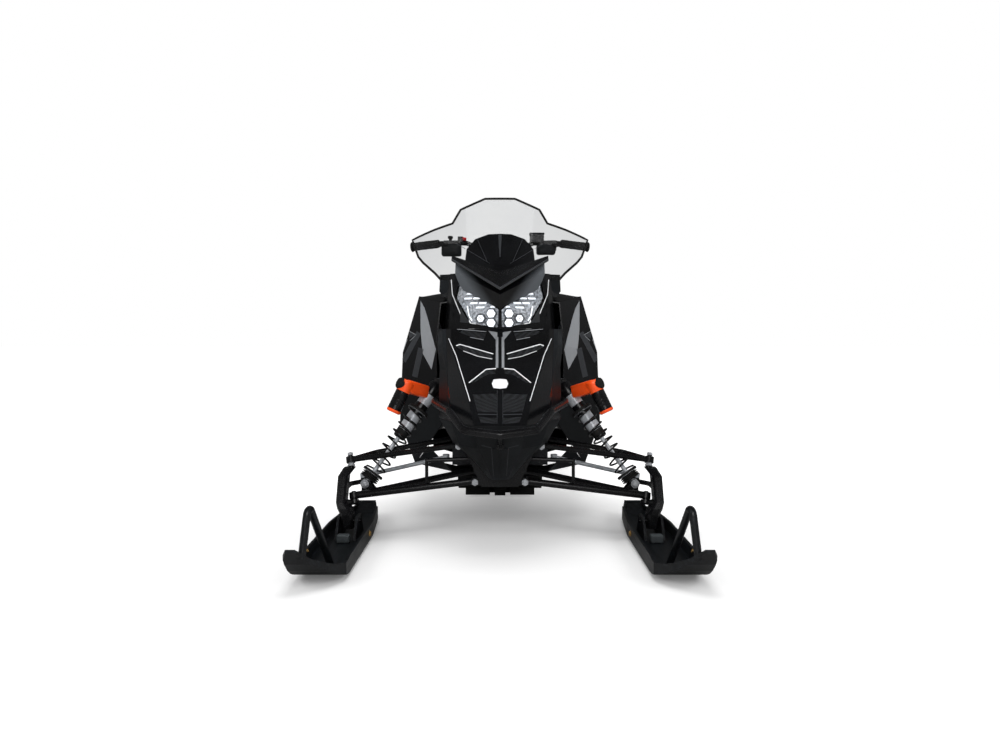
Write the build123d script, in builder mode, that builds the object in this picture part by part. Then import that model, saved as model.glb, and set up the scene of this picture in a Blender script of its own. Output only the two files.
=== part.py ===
"""A snowmobile: two skis on swinging spindles, a rubber track under a tunnel, and a faceted body.

The machine's front faces -Y and its rider's left hand is at +X. Z is up, the ground is Z = 0, and the
origin is the middle of the machine's footprint. Sizes are millimetres.
"""

import os
from math import cos, hypot, radians, sin, sqrt

from build123d import *

os.makedirs("parts", exist_ok=True)

# ---------------------------------------------------------------- driving dimensions
overall_length = 3180
front_y = -overall_length / 2
rear_y = overall_length / 2
seam = 0.6  # gap where two body panels meet edge to edge
corner_seam = 2.4  # gap where two body panels meet at a corner
seat_gap = 0.3  # gap where one piece is seated on another
panel_wall = 4

# skis and their spindles
ski_stance = 1088  # between the middles of the two skis
ski_width = 160
ski_bolt_y = -975
ski_bolt_z = 74
ski_bolt_radius = 8
ski_tip_length = 200  # along Y, from the flat sole to the tip
ski_tip_height = 112
ski_tail_y = -590
ski_tail_length = 90
ski_tail_height = 46
ski_sole_z = 12
ski_plate = 10
ski_tail_width = 118
ski_wall_top = 62
ski_wall = 9
runner_width = 12
kingpin_low = (530, -950, 160)  # lower ball joint of the +X spindle
kingpin_high = (550, -900, 283)  # upper ball joint of the +X spindle
upper_knee = (468, -812, 298)  # where the upper arm's rear tube bends round the shock
ball_stud_radius = 8
ball_eye_radius = 17
ball_eye_height = 22
tie_joint = (520, -800, 206)
tie_inner = (206, -790, 276)
tie_radius = 8

# front suspension
lower_arm_radius = 12.5
upper_arm_radius = 10
bush_radius = 15
bush_length = 48
frame_low_half = 66
frame_high_half = 145
frame_low_z = 198
frame_high_z = 375
frame_front_y = -985
frame_rear_y = -660
lower_pivot_z = 214
upper_pivot_z = 344
front_pivot_y = -950
rear_pivot_y = -705
shock_foot = (497, -893, 196)
shock_head = (236, -770, 560)
shock_body_radius = 25
shock_rod_radius = 8
spring_radius = 34
spring_wire = 3.5
spring_turns = 8

# track, tunnel and rear suspension
track_width = 381
track_belt = 8
lug_height = 34
lug_thickness = 11
lug_count = 56
sprocket_y = -320
sprocket_z = 345
sprocket_radius = 96
idler_y = 1075
idler_radius = 88
track_nose_y = -150
track_nose_radius = 60
carrier_y = 470
carrier_z = 338
carrier_radius = 66
axle_radius = 13
tunnel_half = 205
tunnel_wall = 3
tunnel_top = 515
tunnel_front_y = -470
tunnel_rear_y = rear_y - 280
board_z = 270
board_outer = 400
rail_x = 95
rail_thickness = 12

# steering
post_rake = 27  # degrees from the vertical
post_top = (0, -130, 1100)
post_radius = 15
post_below = 420
post_above = 34
bar_radius = 11
grip_radius = 17

# ---------------------------------------------------------------- shared helpers


def keep(piece, name):
    """Labels a finished piece and writes it."""
    piece.label = name
    export_step(piece, f"parts/{name}.step")


def mirrored(points):
    """The same points on the other side of the machine."""
    return [(-point[0], *point[1:]) for point in points]


def both_ways(half):
    """An open line across the machine, from its +X half, whose last point lies on the middle."""
    return list(half) + mirrored(reversed(half[:-1]))


def wall_outline(line, wall):
    """Closed outline of a wall on the left of an open line."""
    steps = [(b[0] - a[0], b[1] - a[1]) for a, b in zip(line, line[1:])]
    normals = [(-dy / hypot(dx, dy), dx / hypot(dx, dy)) for dx, dy in steps]
    before = [normals[0]] + normals
    after = normals + [normals[-1]]
    inner = []
    for (x, y), (ax, ay), (bx, by) in zip(line, before, after):
        share = wall / (1 + ax * bx + ay * by)
        inner.append((x + share * (ax + bx), y + share * (ay + by)))
    return list(line) + inner[::-1]


def lofted(sections):
    """A solid through (plane, outline) sections, with straight lines between them."""
    with BuildPart() as body:
        for plane, outline in sections:
            with BuildSketch(plane):
                Polygon(*outline, align=None)
        loft(ruled=True)
    return body.part


def across(y):
    """The plane across the machine at y; its points are (x, z)."""
    return Plane.XZ.offset(-y)


def level(z):
    """The level plane at z; its points are (x, y)."""
    return Plane.XY.offset(z)


def beside(x):
    """The plane along the machine at x; its points are (y, z)."""
    return Plane.YZ.offset(x)


def bar(start, end, radius, hole=0):
    """A round bar or tube from one point to another."""
    run = Vector(*end) - Vector(*start)
    with BuildPart() as piece:
        with BuildSketch(Plane(origin=start, z_dir=run)):
            Circle(radius)
            if hole:
                Circle(hole, mode=Mode.SUBTRACT)
        extrude(amount=run.length)
    return piece.part


def bent_tube(points, bend, radius):
    """A round bar along straight runs with bends of one radius."""
    with BuildPart() as piece:
        with BuildLine() as path:
            FilletPolyline(*points, radius=bend)
        with BuildSketch(Plane(origin=path.line @ 0, z_dir=path.line % 0)):
            Circle(radius)
        sweep()
    return piece.part


def along(start, end, share):
    """The point at a share of the way from start to end."""
    return tuple(a + (b - a) * share for a, b in zip(start, end))


def at_height(start, end, z):
    """The point of the line through start and end at a height."""
    return along(start, end, (z - start[2]) / (end[2] - start[2]))


def flipped(piece):
    """The mirror image of a piece on the other side of the machine."""
    return mirror(piece, about=Plane.YZ)


sides = {"left": 1, "right": -1}

# ---------------------------------------------------------------- main body panels
# columns: y, roof edge x z, shoulder x z, waist x z, hip x z, sill x z, crest x z, ridge z
body_stations = [
    (-710, (200, 872), (232, 868), (252, 700), (249, 520), (226, 397), (178, 962), 980),
    (-600, (212, 884), (325, 897), (392, 672), (405, 392), (345, 222), (178, 985), 1008),
    (-420, (205, 925), (335, 902), (410, 655), (408, 392), (345, 222), (165, 985), 1004),
    (-200, (200, 925), (322, 890), (398, 655), (392, 420), (348, 296), (150, 958), 972),
    (-60, (165, 902), (262, 856), (326, 660), (338, 462), (342, 336), (130, 920), 928),
    (70, (112, 868), (150, 830), (168, 655), (216, 500), (216, 356), (90, 880), 884),
]
belly_front_y = -650
belly_rear_y = -466
belly_keel = (185, 186)


def sill_at(y):
    """The sill's point (x, z) at y."""
    for low, high in zip(body_stations, body_stations[1:]):
        if low[0] <= y <= high[0]:
            share = (y - low[0]) / (high[0] - low[0])
            return along(low[5], high[5], share)


def beyond(start, end, distance):
    """The point a distance from start towards end."""
    return along(start, end, distance / hypot(end[0] - start[0], end[1] - start[1]))


side_panel = lofted((across(row[0]), wall_outline(row[1:5], -panel_wall)) for row in body_stations)
keep(side_panel, "side_panel_left")
keep(flipped(side_panel), "side_panel_right")

foot_panel = lofted(
    (across(row[0]), wall_outline([beyond(row[4], row[5], corner_seam), row[5]], -panel_wall))
    for row in body_stations
)
keep(foot_panel, "foot_panel_left")
keep(flipped(foot_panel), "foot_panel_right")

belly_sections = []
for y in (belly_front_y, -600, belly_rear_y):
    sill_x, sill_z = sill_at(y)
    half = [beyond((sill_x, sill_z), belly_keel, 1.6 * corner_seam), belly_keel, (0, belly_keel[1])]
    belly_sections.append((across(y), wall_outline(both_ways(half), -panel_wall)))
belly_pan = lofted(belly_sections)
keep(belly_pan, "belly_pan")


def console_line(row, lift=0):
    """The top cover's line across the machine at a station, raised by lift."""
    (roof_x, roof_z), (crest_x, crest_z), ridge_z = row[1], row[6], row[7]
    half = [(roof_x - 0.7 * corner_seam, roof_z + lift), (crest_x, crest_z + lift), (0, ridge_z + lift)]
    return both_ways(half)


post_axis = Vector(0, sin(radians(post_rake)), cos(radians(post_rake)))
post_hole_radius = 34

with BuildPart() as console:
    add(lofted((across(row[0]), wall_outline(console_line(row), panel_wall)) for row in body_stations))
    add(
        bar(post_top, Vector(*post_top) - post_axis * 300, post_hole_radius),
        mode=Mode.SUBTRACT,
    )
keep(console.part, "console")
console_core = lofted(
    (across(row[0]), console_line(row, seat_gap) + [(-row[1][0], 700), (row[1][0], 700)])
    for row in body_stations
)

# ---------------------------------------------------------------- nose, hood and lamp fairing
# columns: z, then half of the line round the front, from its rear end to the middle, as (x, y)
nose_rear_y = frame_front_y - seat_gap - 1
nose_levels = [
    (240, [(46, nose_rear_y), (40, -1040), (26, -1072), (0, -1080)]),
    (300, [(100, nose_rear_y), (86, -1050), (48, -1112), (0, -1124)]),
    (360, [(168, nose_rear_y), (142, -1062), (74, -1158), (0, -1170)]),
    (444.4, [(216, nose_rear_y), (172, -1072), (88, -1208), (0, -1218)]),
]
hood_levels = [
    (445, [(219, -960), (172, -1072), (88, -1208), (0, -1218)]),
    (528, [(224, -900), (176, -1040), (108, -1130), (0, -1152)]),
    (620, [(226, -830), (196, -932), (148, -1012), (0, -1046)]),
    (700, [(238, -790), (214, -860), (178, -905), (0, -956)]),
    (764.4, [(240, -716), (218, -800), (184, -838), (0, -886)]),
]
fairing_levels = [
    (765, [(214, -716), (196, -780), (112, -822), (0, -886)]),
    (860, [(206, -716), (188, -764), (112, -806), (0, -872)]),
    (978, [(193, -716), (172, -738), (112, -762), (0, -800)]),
]


def shell(levels, wall):
    """A wall that wraps the front, with its inside towards the machine."""
    return lofted((level(z), wall_outline(both_ways(half), -wall)) for z, half in levels)


def core(levels, grow):
    """The space inside and including such a wall, grown sideways and forwards."""
    sections = []
    for z, half in levels:
        grown = [(x + (grow if x else 0), y - grow) for x, y in half]
        sections.append((level(z), both_ways(grown)))
    return lofted(sections)


def both_prisms(outlines):
    """Prisms along the machine through outlines seen from the front, and their mirror images."""
    with BuildPart() as prisms:
        for outline in outlines:
            for points in (outline, mirrored(outline)):
                with BuildSketch(across(0)):
                    Polygon(*points, align=None)
                extrude(amount=-front_y)
    return prisms.part


def skin_inside(levels, depth, outlines):
    """The outer skin of a wrap-round wall, depth thick, inside outlines seen from the front."""
    with BuildPart() as skin:
        add(shell(levels, depth))
        add(both_prisms(outlines), mode=Mode.INTERSECT)
    return skin.part


nose_pan = shell(nose_levels, panel_wall)
keep(nose_pan, "nose_pan")

recess_depth = 2.5
hood_vent = [(154, 750), (142, 760), (48, 750), (58, 728), (110, 737)]
upper_slit = [(160, 699), (146, 705), (24, 672), (28, 658), (79, 667), (134, 685)]
lower_slit = [(106, 576), (49, 619), (14, 622), (16, 608), (45, 603), (90, 578)]
upper_grille = [(94, 542), (10, 546), (10, 484), (77, 486)]
lower_grille = [(73, 473), (10, 470), (10, 450), (64, 452)]
spine_slot = [(-5, 600), (5, 600), (5, 742), (-5, 742)]
hood_recesses = [hood_vent, upper_slit, lower_slit, upper_grille, lower_grille, spine_slot]
with BuildPart() as hood:
    add(shell(hood_levels, panel_wall))
    add(skin_inside(hood_levels, recess_depth, hood_recesses), mode=Mode.SUBTRACT)
keep(hood.part, "hood")

# each lamp's outline seen from the front, as (x, z)
lamp_outline = [(6, 836), (158, 946), (172, 884), (122, 800), (112, 786), (12, 768.5), (6, 776)]
lens_thickness = 14
lens_gap = 0.5


def lamp_prism(grow):
    """Both lamps' outlines, run right through the fairing."""
    with BuildPart() as prism:
        for outline in (lamp_outline, mirrored(lamp_outline)):
            with BuildSketch(across(-700)):
                Polygon(*outline, align=None)
                if grow:
                    offset(amount=grow, kind=Kind.INTERSECTION)
            extrude(amount=200)
    return prism.part


louvres = [[(150, z), (178, z + 14), (178, z + 26), (150, z + 12)] for z in range(800, 950, 30)]
with BuildPart() as lamp_fairing:
    add(shell(fairing_levels, panel_wall))
    add(lamp_prism(0), mode=Mode.SUBTRACT)
    add(skin_inside(fairing_levels, recess_depth, louvres), mode=Mode.SUBTRACT)
keep(lamp_fairing.part, "lamp_fairing")

with BuildPart() as head_lamps:
    add(shell(fairing_levels, lens_thickness))
    add(lamp_prism(-lens_gap), mode=Mode.INTERSECT)
keep(head_lamps.part, "head_lamps")

# the brow over the lamps and the visor above it: side outlines (y, z) at the middle and at the outer ends
brow_half = 172
brow_rear_y = body_stations[0][0] - seam
brow_middle = [(-950, 838), (-984, 886), (-858, 968), (brow_rear_y, 984), (brow_rear_y, 940)]
brow_end = [(-735, 930), (-740, 985), (-722, 1010), (brow_rear_y, 1030), (brow_rear_y, 930)]
visor_half = 188
visor_wall = 8
visor_middle = [(-1010, 900), (-858, 968 + seat_gap)]
visor_end = [(-712, 1028), (-686, 1043)]


def both_halves(half, middle, end):
    """A shape that runs straight from its middle outline to the same end outline on each side."""
    with BuildPart() as piece:
        for x_end in (half, -half):
            add(lofted([(beside(0), middle), (beside(x_end), end)]))
    return piece.part


def raised(line, height):
    """Closed outline of a strip that stands on a line and is height tall."""
    return line + [(y, z + height) for y, z in reversed(line)]


with BuildPart() as lamp_brow:
    add(both_halves(brow_half, brow_middle, brow_end))
    add(core(fairing_levels, seat_gap), mode=Mode.SUBTRACT)
keep(lamp_brow.part, "lamp_brow")
visor = both_halves(visor_half, raised(visor_middle, visor_wall), raised(visor_end, visor_wall))
keep(visor, "visor")

# ---------------------------------------------------------------- windshield and its base
shield_wrap = 464  # radius of the bend round the rider, seen from above
shield_half = 420
shield_low_z = 900
shield_high_z = 1360
shield_low_y = -731
shield_rake = 0.66  # how far back the sheet leans for each unit of rise
shield_wall = 4
shield_outline = [
    (0, 1308),
    (62, 1308),
    (164, 1262),
    (196, 1202),
    (272, 1180),
    (374, 1146),
    (340, 1066),
    (316, 1038),
    (262, 990),
    (236, 962),
    (0, 940),
]
base_outline = [(0, 1150), (46, 1148), (100, 1128), (134, 1086), (138, 1046), (138, 960), (0, 940)]


def wrapped_sheet(forward, wall):
    """A raked sheet bent round the rider, its front face moved forward."""
    sections = []
    for z in (shield_low_z, shield_high_z):
        nose_y = shield_low_y - forward + shield_rake * (z - shield_low_z)
        radius = shield_wrap + forward
        sag = radius - sqrt(radius**2 - shield_half**2)
        inner = radius - wall
        inner_sag = inner - sqrt(inner**2 - shield_half**2)
        sections.append((z, nose_y, sag, inner_sag))
    with BuildPart() as sheet:
        for z, nose_y, sag, inner_sag in sections:
            with BuildSketch(level(z)):
                with BuildLine():
                    front = ThreePointArc(
                        (-shield_half, nose_y + sag), (0, nose_y), (shield_half, nose_y + sag)
                    )
                    back = ThreePointArc(
                        (-shield_half, nose_y + wall + inner_sag),
                        (0, nose_y + wall),
                        (shield_half, nose_y + wall + inner_sag),
                    )
                    Line(front @ 0, back @ 0)
                    Line(front @ 1, back @ 1)
                make_face()
        loft(ruled=True)
    return sheet.part


def front_prism(half_outline):
    """A prism along the machine whose outline, seen from the front, is mirrored about the middle."""
    outline = half_outline + mirrored(reversed(half_outline[1:-1]))
    with BuildPart() as prism:
        with BuildSketch(across(0)):
            Polygon(*outline, align=None)
        extrude(amount=900)
    return prism.part


shield_step = 5  # the base's face stands this far in front of the clear sheet's
with BuildPart() as windshield:
    add(wrapped_sheet(0, shield_wall))
    add(front_prism(shield_outline), mode=Mode.INTERSECT)
    add(console_core, mode=Mode.SUBTRACT)
keep(windshield.part, "windshield")

rib_height = 3
base_rib_outlines = [
    [(86, 1126), (95, 1122), (52, 1028), (44, 1032)],
    [(40, 1142), (47, 1140), (24, 1030), (18, 1034)],
    [(-3, 1044), (3, 1044), (9, 1146), (-9, 1146)],
]
with BuildPart() as base_ribs:
    add(wrapped_sheet(shield_step + rib_height, shield_wall))
    add(both_prisms(base_rib_outlines), mode=Mode.INTERSECT)
with BuildPart() as shield_base:
    add(wrapped_sheet(shield_step, shield_wall))
    add(front_prism(base_outline), mode=Mode.INTERSECT)
    add(base_ribs.part)
    add(console_core, mode=Mode.SUBTRACT)
keep(shield_base.part, "shield_base")

mount_front_y = -668
mount_rear_y = -585
mount_outline = [(190, 890), (222, 890), (240, 914), (240, 982), (192, 982)]
with BuildPart() as shield_mounts:
    for outline in (mount_outline, mirrored(mount_outline)):
        with BuildSketch(across(mount_rear_y)):
            Polygon(*outline, align=None)
        extrude(amount=mount_rear_y - mount_front_y)
    add(wrapped_sheet(60, 60 + shield_wall + seat_gap), mode=Mode.SUBTRACT)
    add(console_core, mode=Mode.SUBTRACT)
keep(shield_mounts.part, "shield_mounts")

# ---------------------------------------------------------------- front frame
pin_radius = 7.7
shock_tab = 7
shock_eye_half = 14
tower_front_y = -797
tower_depth = 50
tower_top_z = 590
tower_half = 192
frame_slope = (frame_high_half - frame_low_half) / (frame_high_z - frame_low_z)


def frame_side_x(z):
    """Half width of the front frame at a height."""
    return frame_low_half + frame_slope * (z - frame_low_z)


bush_reach = (bush_radius + seat_gap) * sqrt(1 + frame_slope**2)


def pivot(y, z):
    """The middle of an arm's inner bush beside the +X side of the frame."""
    return (frame_side_x(z) + bush_reach, y, z)


pivots = [(y, z) for y in (front_pivot_y, rear_pivot_y) for z in (lower_pivot_z, upper_pivot_z)]
ear_thickness = 8
ear_reach = 11
with BuildPart() as front_frame:
    with BuildSketch(across(frame_rear_y)):
        Polygon(
            (-frame_low_half, frame_low_z),
            (frame_low_half, frame_low_z),
            (frame_high_half, frame_high_z),
            (-frame_high_half, frame_high_z),
            align=None,
        )
    extrude(amount=frame_rear_y - frame_front_y)
    with BuildSketch(across(tower_front_y + tower_depth)):
        Polygon(
            (-130, frame_high_z),
            (130, frame_high_z),
            (tower_half, tower_top_z),
            (-tower_half, tower_top_z),
            align=None,
        )
    extrude(amount=tower_depth)
    for y, z in pivots:
        for step in (-1, 1):
            ear_y = y + step * (bush_length / 2 + seat_gap + ear_thickness / 2)
            reach = frame_side_x(z) + bush_reach + ear_reach
            with Locations((0, ear_y, z)):
                Box(2 * reach, ear_thickness, 2 * ear_reach)
        pin_half = bush_length / 2 + 10
        for side in sides.values():
            pin_x = side * (frame_side_x(z) + bush_reach)
            add(bar((pin_x, y - pin_half, z), (pin_x, y + pin_half, z), pin_radius))
    for side in sides.values():
        head = (side * shock_head[0], shock_head[1], shock_head[2])
        for step in (-1, 1):
            tab_y = head[1] + step * (shock_eye_half + seat_gap + shock_tab / 2)
            with Locations((side * (tower_half + shock_head[0] - 18) / 2, tab_y, head[2])):
                Box(shock_head[0] - tower_half + 50, shock_tab, 32)
        reach = shock_eye_half + seat_gap + shock_tab / 2
        add(bar((head[0], head[1] - reach, head[2]), (head[0], head[1] + reach, head[2]), pin_radius))
keep(front_frame.part, "front_frame")

# ---------------------------------------------------------------- arms, spindles and tie rods
kingpin = Vector(*kingpin_high) - Vector(*kingpin_low)
kingpin_dir = kingpin.normalized()


def on_kingpin(point, rise):
    """A point moved along the kingpin's direction."""
    return tuple(Vector(*point) + kingpin_dir * rise)


def arm(ball, pivot_z, radius, knee_point=None):
    """A suspension arm: an eye at its ball joint and a tube to each inner bush."""
    half_eye = ball_eye_height / 2
    with BuildPart() as piece:
        add(bar(on_kingpin(ball, -half_eye), on_kingpin(ball, half_eye), ball_eye_radius))
        for y, knee in ((front_pivot_y, None), (rear_pivot_y, knee_point)):
            inner = pivot(y, pivot_z)
            if knee:
                add(bent_tube([ball, knee, inner], 30, radius))
            else:
                add(bar(ball, inner, radius))
            low_end = (inner[0], y - bush_length / 2, inner[2])
            high_end = (inner[0], y + bush_length / 2, inner[2])
            add(bar(low_end, high_end, bush_radius))
        for y in (front_pivot_y, rear_pivot_y):
            inner = pivot(y, pivot_z)
            add(
                bar(
                    (inner[0], y - bush_length, inner[2]),
                    (inner[0], y + bush_length, inner[2]),
                    ball_stud_radius,
                ),
                mode=Mode.SUBTRACT,
            )
        add(
            bar(on_kingpin(ball, -60), on_kingpin(ball, 60), ball_stud_radius + seat_gap),
            mode=Mode.SUBTRACT,
        )
    return piece.part


shock_dir = (Vector(*shock_head) - Vector(*shock_foot)).normalized()
shock_length = (Vector(*shock_head) - Vector(*shock_foot)).length
shock_eye_radius = 15

with BuildPart() as upper_arms:
    add(arm(kingpin_high, upper_pivot_z, upper_arm_radius, upper_knee))
    mirror(about=Plane.YZ)
keep(upper_arms.part, "upper_arms")

shock_seat_z = 158  # underside of the plate that carries the shock's foot
shock_seat_top = 170
shock_tab_inner = shock_foot[0] - 49
shock_tab_outer = shock_foot[0] + 12
shock_tab_reach = shock_eye_half + seat_gap + shock_tab
with BuildPart() as lower_arms:
    add(arm(kingpin_low, lower_pivot_z, lower_arm_radius))
    for tab_rear_y in (shock_foot[1] - shock_tab_reach + shock_tab, shock_foot[1] + shock_tab_reach):
        with BuildSketch(across(tab_rear_y)):
            Polygon(
                (shock_tab_inner, shock_seat_z),
                (shock_tab_outer, shock_seat_z),
                (shock_tab_outer, shock_foot[2] + 6),
                (shock_foot[0] + 4, shock_foot[2] + 14),
                (shock_foot[0] - 12, shock_foot[2] + 12),
                align=None,
            )
        extrude(amount=shock_tab)
    with BuildSketch(across(shock_foot[1] + shock_tab_reach)):
        Polygon(
            (shock_tab_inner, shock_seat_z),
            (shock_tab_outer, shock_seat_z),
            (shock_tab_outer, shock_seat_top),
            (shock_tab_inner, shock_seat_top),
            align=None,
        )
    extrude(amount=2 * shock_tab_reach)
    reach = shock_eye_half + seat_gap + shock_tab / 2
    add(
        bar(
            (shock_foot[0], shock_foot[1] - reach, shock_foot[2]),
            (shock_foot[0], shock_foot[1] + reach, shock_foot[2]),
            pin_radius,
        )
    )
    mirror(about=Plane.YZ)
keep(lower_arms.part, "lower_arms")

# columns: z, middle x, middle y, half width, half depth
spindle_levels = [
    (52, ski_stance / 2, -986, 20, 28),
    (104, 549, -982, 21, 36),
    (124, 559, -978, 21, 38),
    (146, 570, -970, 16, 38),
    (232, 568, -936, 18, 32),
    (kingpin_high[2] - 26, 552, -911, 21, 24),
]
steer_arm_radius = 9
tie_eye_height = 20
tie_stud_radius = 6
tie_eye_radius = 13
steer_arm_z = tie_joint[2] - 21
steer_arm = [
    (562, -925, steer_arm_z),
    (560, -850, steer_arm_z),
    (tie_joint[0] + 6, tie_joint[1] - 6, steer_arm_z),
]
fork_gap = 56  # between the two cheeks that hold the spindle's foot
fork_wall = 9


def spindle():
    """The +X spindle with its ball studs, steering arm and ski bolt."""
    sections = []
    for z, x, y, half_x, half_y in spindle_levels:
        cut = min(half_x, half_y) * 0.4
        outline = [
            (x - half_x, y - half_y + cut),
            (x - half_x + cut, y - half_y),
            (x + half_x - cut, y - half_y),
            (x + half_x, y - half_y + cut),
            (x + half_x, y + half_y - cut),
            (x + half_x - cut, y + half_y),
            (x - half_x + cut, y + half_y),
            (x - half_x, y + half_y - cut),
        ]
        sections.append((level(z), outline))
    low_foot = on_kingpin(kingpin_low, -30)
    bolt_half = fork_gap / 2 + fork_wall + 5
    with BuildPart() as piece:
        add(lofted(sections))
        stud_low = at_height(kingpin_low, kingpin_high, spindle_levels[-1][0] - 8)
        add(bar(stud_low, on_kingpin(kingpin_high, 16), ball_stud_radius))
        add(bar(low_foot, on_kingpin(kingpin_low, 16), ball_stud_radius))
        add(bar(low_foot, on_kingpin(low_foot, 13), ball_eye_radius))
        add(bar(on_kingpin(low_foot, 6.5), (560, -972, on_kingpin(low_foot, 6.5)[2]), 10))
        add(bent_tube(steer_arm, 30, steer_arm_radius))
        arm_top = -tie_eye_height / 2 - seat_gap
        add(bar(on_kingpin(tie_joint, arm_top - 14), on_kingpin(tie_joint, arm_top), tie_eye_radius))
        add(bar(on_kingpin(tie_joint, arm_top - 5), on_kingpin(tie_joint, 14), tie_stud_radius))
        middle = ski_stance / 2
        add(
            bar(
                (middle - bolt_half, ski_bolt_y, ski_bolt_z),
                (middle + bolt_half, ski_bolt_y, ski_bolt_z),
                ski_bolt_radius,
            )
        )
    return piece.part


spindle_left = spindle()
keep(spindle_left, "spindle_left")
keep(flipped(spindle_left), "spindle_right")


def tie_rod():
    """The +X tie rod: an eye on the spindle's stud and a rod to its inner ball."""
    with BuildPart() as piece:
        half_eye = tie_eye_height / 2
        add(bar(on_kingpin(tie_joint, -half_eye), on_kingpin(tie_joint, half_eye), tie_eye_radius))
        add(bar(tie_joint, tie_inner, tie_radius))
        add(bar((*tie_inner[:2], tie_inner[2] - 11), (*tie_inner[:2], tie_inner[2] + 11), 13))
        add(
            bar(on_kingpin(tie_joint, -40), on_kingpin(tie_joint, 40), tie_stud_radius + seat_gap),
            mode=Mode.SUBTRACT,
        )
    return piece.part


tie_rod_left = tie_rod()
keep(tie_rod_left, "tie_rod_left")
keep(flipped(tie_rod_left), "tie_rod_right")

# ---------------------------------------------------------------- skis
ski_inner = (ski_stance - ski_width) / 2
ski_outer = (ski_stance + ski_width) / 2
tail_inner = (ski_stance - ski_tail_width) / 2
tail_outer = (ski_stance + ski_tail_width) / 2
tip_flat_y = front_y + ski_tip_length
tail_flat_y = ski_tail_y - ski_tail_length
ski_waist_y = -940  # where the ski starts to narrow towards its tail
ski_plan = [
    (ski_inner, front_y + 138),
    (ski_inner + 40, front_y + 70),
    (ski_outer - 40, front_y),
    (ski_outer - 12, front_y),
    (ski_outer, front_y + 20),
    (ski_outer, ski_waist_y),
    (tail_outer, tail_flat_y),
    (tail_outer - 22, ski_tail_y),
    (tail_inner + 22, ski_tail_y),
    (tail_inner, tail_flat_y),
    (ski_inner, ski_waist_y),
]
loop_points = [
    (ski_outer - 53, front_y + 24, 98),
    (ski_outer - 69, front_y + 48, 257),
    (ski_outer - 88, front_y + 250, 20),
]
loop_radius = 11.5
ski_rim = ski_wall_top - ski_sole_z - ski_plate  # height of the side walls over the plate
ski_height = 400  # more than the ski's whole height, for cuts right through it


def arc_height(run, rise, reach):
    """Height at a run along an arc that leaves the level and rises by rise over reach."""
    radius = (reach**2 + rise**2) / (2 * rise)
    return radius - sqrt(radius**2 - run**2)


def ski_line(lift, rim=0):
    """The ski's side line (y, z) from tip to tail, raised by lift, and by rim away from the ends."""
    line = []
    for step in range(7):
        run = ski_tip_length * (1 - step / 6)
        z = ski_sole_z + arc_height(run, ski_tip_height, ski_tip_length)
        line.append((tip_flat_y - run, z + lift + rim * step / 6))
    for step in range(4):
        run = ski_tail_length * step / 3
        z = ski_sole_z + arc_height(run, ski_tail_height, ski_tail_length)
        line.append((tail_flat_y + run, z + lift + rim * (1 - step / 3)))
    return line


with BuildPart() as ski_trough:
    with BuildSketch(beside(ski_inner)):
        Polygon(*ski_line(ski_plate), (ski_tail_y, ski_height), (front_y, ski_height), align=None)
    extrude(amount=ski_width)
    with BuildSketch(level(0)):
        Polygon(*ski_plan, align=None)
        offset(amount=-ski_wall, kind=Kind.INTERSECTION)
    extrude(amount=ski_height, mode=Mode.INTERSECT)


def ski():
    """The +X ski: a turned-up tray with side walls, a fork, a runner and a hand loop."""
    with BuildPart() as piece:
        with BuildSketch(beside(ski_inner)):
            Polygon(*ski_line(0), *reversed(ski_line(ski_plate, ski_rim)), align=None)
        extrude(amount=ski_width)
        with BuildSketch(level(0)):
            Polygon(*ski_plan, align=None)
        extrude(amount=ski_height, mode=Mode.INTERSECT)
        add(ski_trough.part, mode=Mode.SUBTRACT)
        for step in (-1, 1):
            cheek_x = ski_stance / 2 + step * (fork_gap / 2 + fork_wall / 2)
            with BuildSketch(beside(cheek_x - fork_wall / 2)):
                with BuildLine():
                    Polyline(
                        (ski_bolt_y - 86, ski_sole_z + ski_plate - 1),
                        (ski_bolt_y - 34, ski_bolt_z + 20),
                        (ski_bolt_y + 34, ski_bolt_z + 20),
                        (ski_bolt_y + 86, ski_sole_z + ski_plate - 1),
                        close=True,
                    )
                make_face()
                with Locations((ski_bolt_y, ski_bolt_z)):
                    Circle(ski_bolt_radius + seat_gap, mode=Mode.SUBTRACT)
            extrude(amount=fork_wall)
        with BuildSketch(beside(ski_stance / 2 - runner_width / 2)):
            Polygon(
                (tip_flat_y - 40, ski_sole_z + ski_plate / 2),
                (tip_flat_y + 10, 0),
                (tail_flat_y - 60, 0),
                (tail_flat_y - 20, ski_sole_z + ski_plate / 2),
                align=None,
            )
        extrude(amount=runner_width)
        add(bent_tube(loop_points, 16, loop_radius))
    return piece.part


ski_left = ski()
keep(ski_left, "ski_left")
keep(flipped(ski_left), "ski_right")

# ---------------------------------------------------------------- front shocks, springs and sway bar
spring_low = 54  # along the shock from the middle of its lower eye
spring_high = 322
body_low = 240
reservoir_low = (392, -885, 464)
reservoir_high = (344, -868, 566)


def on_shock(distance):
    """The point a distance up the shock from the middle of its lower eye."""
    return tuple(Vector(*shock_foot) + shock_dir * distance)


def shock_pin(end, half, radius):
    """A bar along the machine through the middle of one of the shock's eyes."""
    x, y, z = end
    return bar((x, y - half, z), (x, y + half, z), radius)


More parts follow.
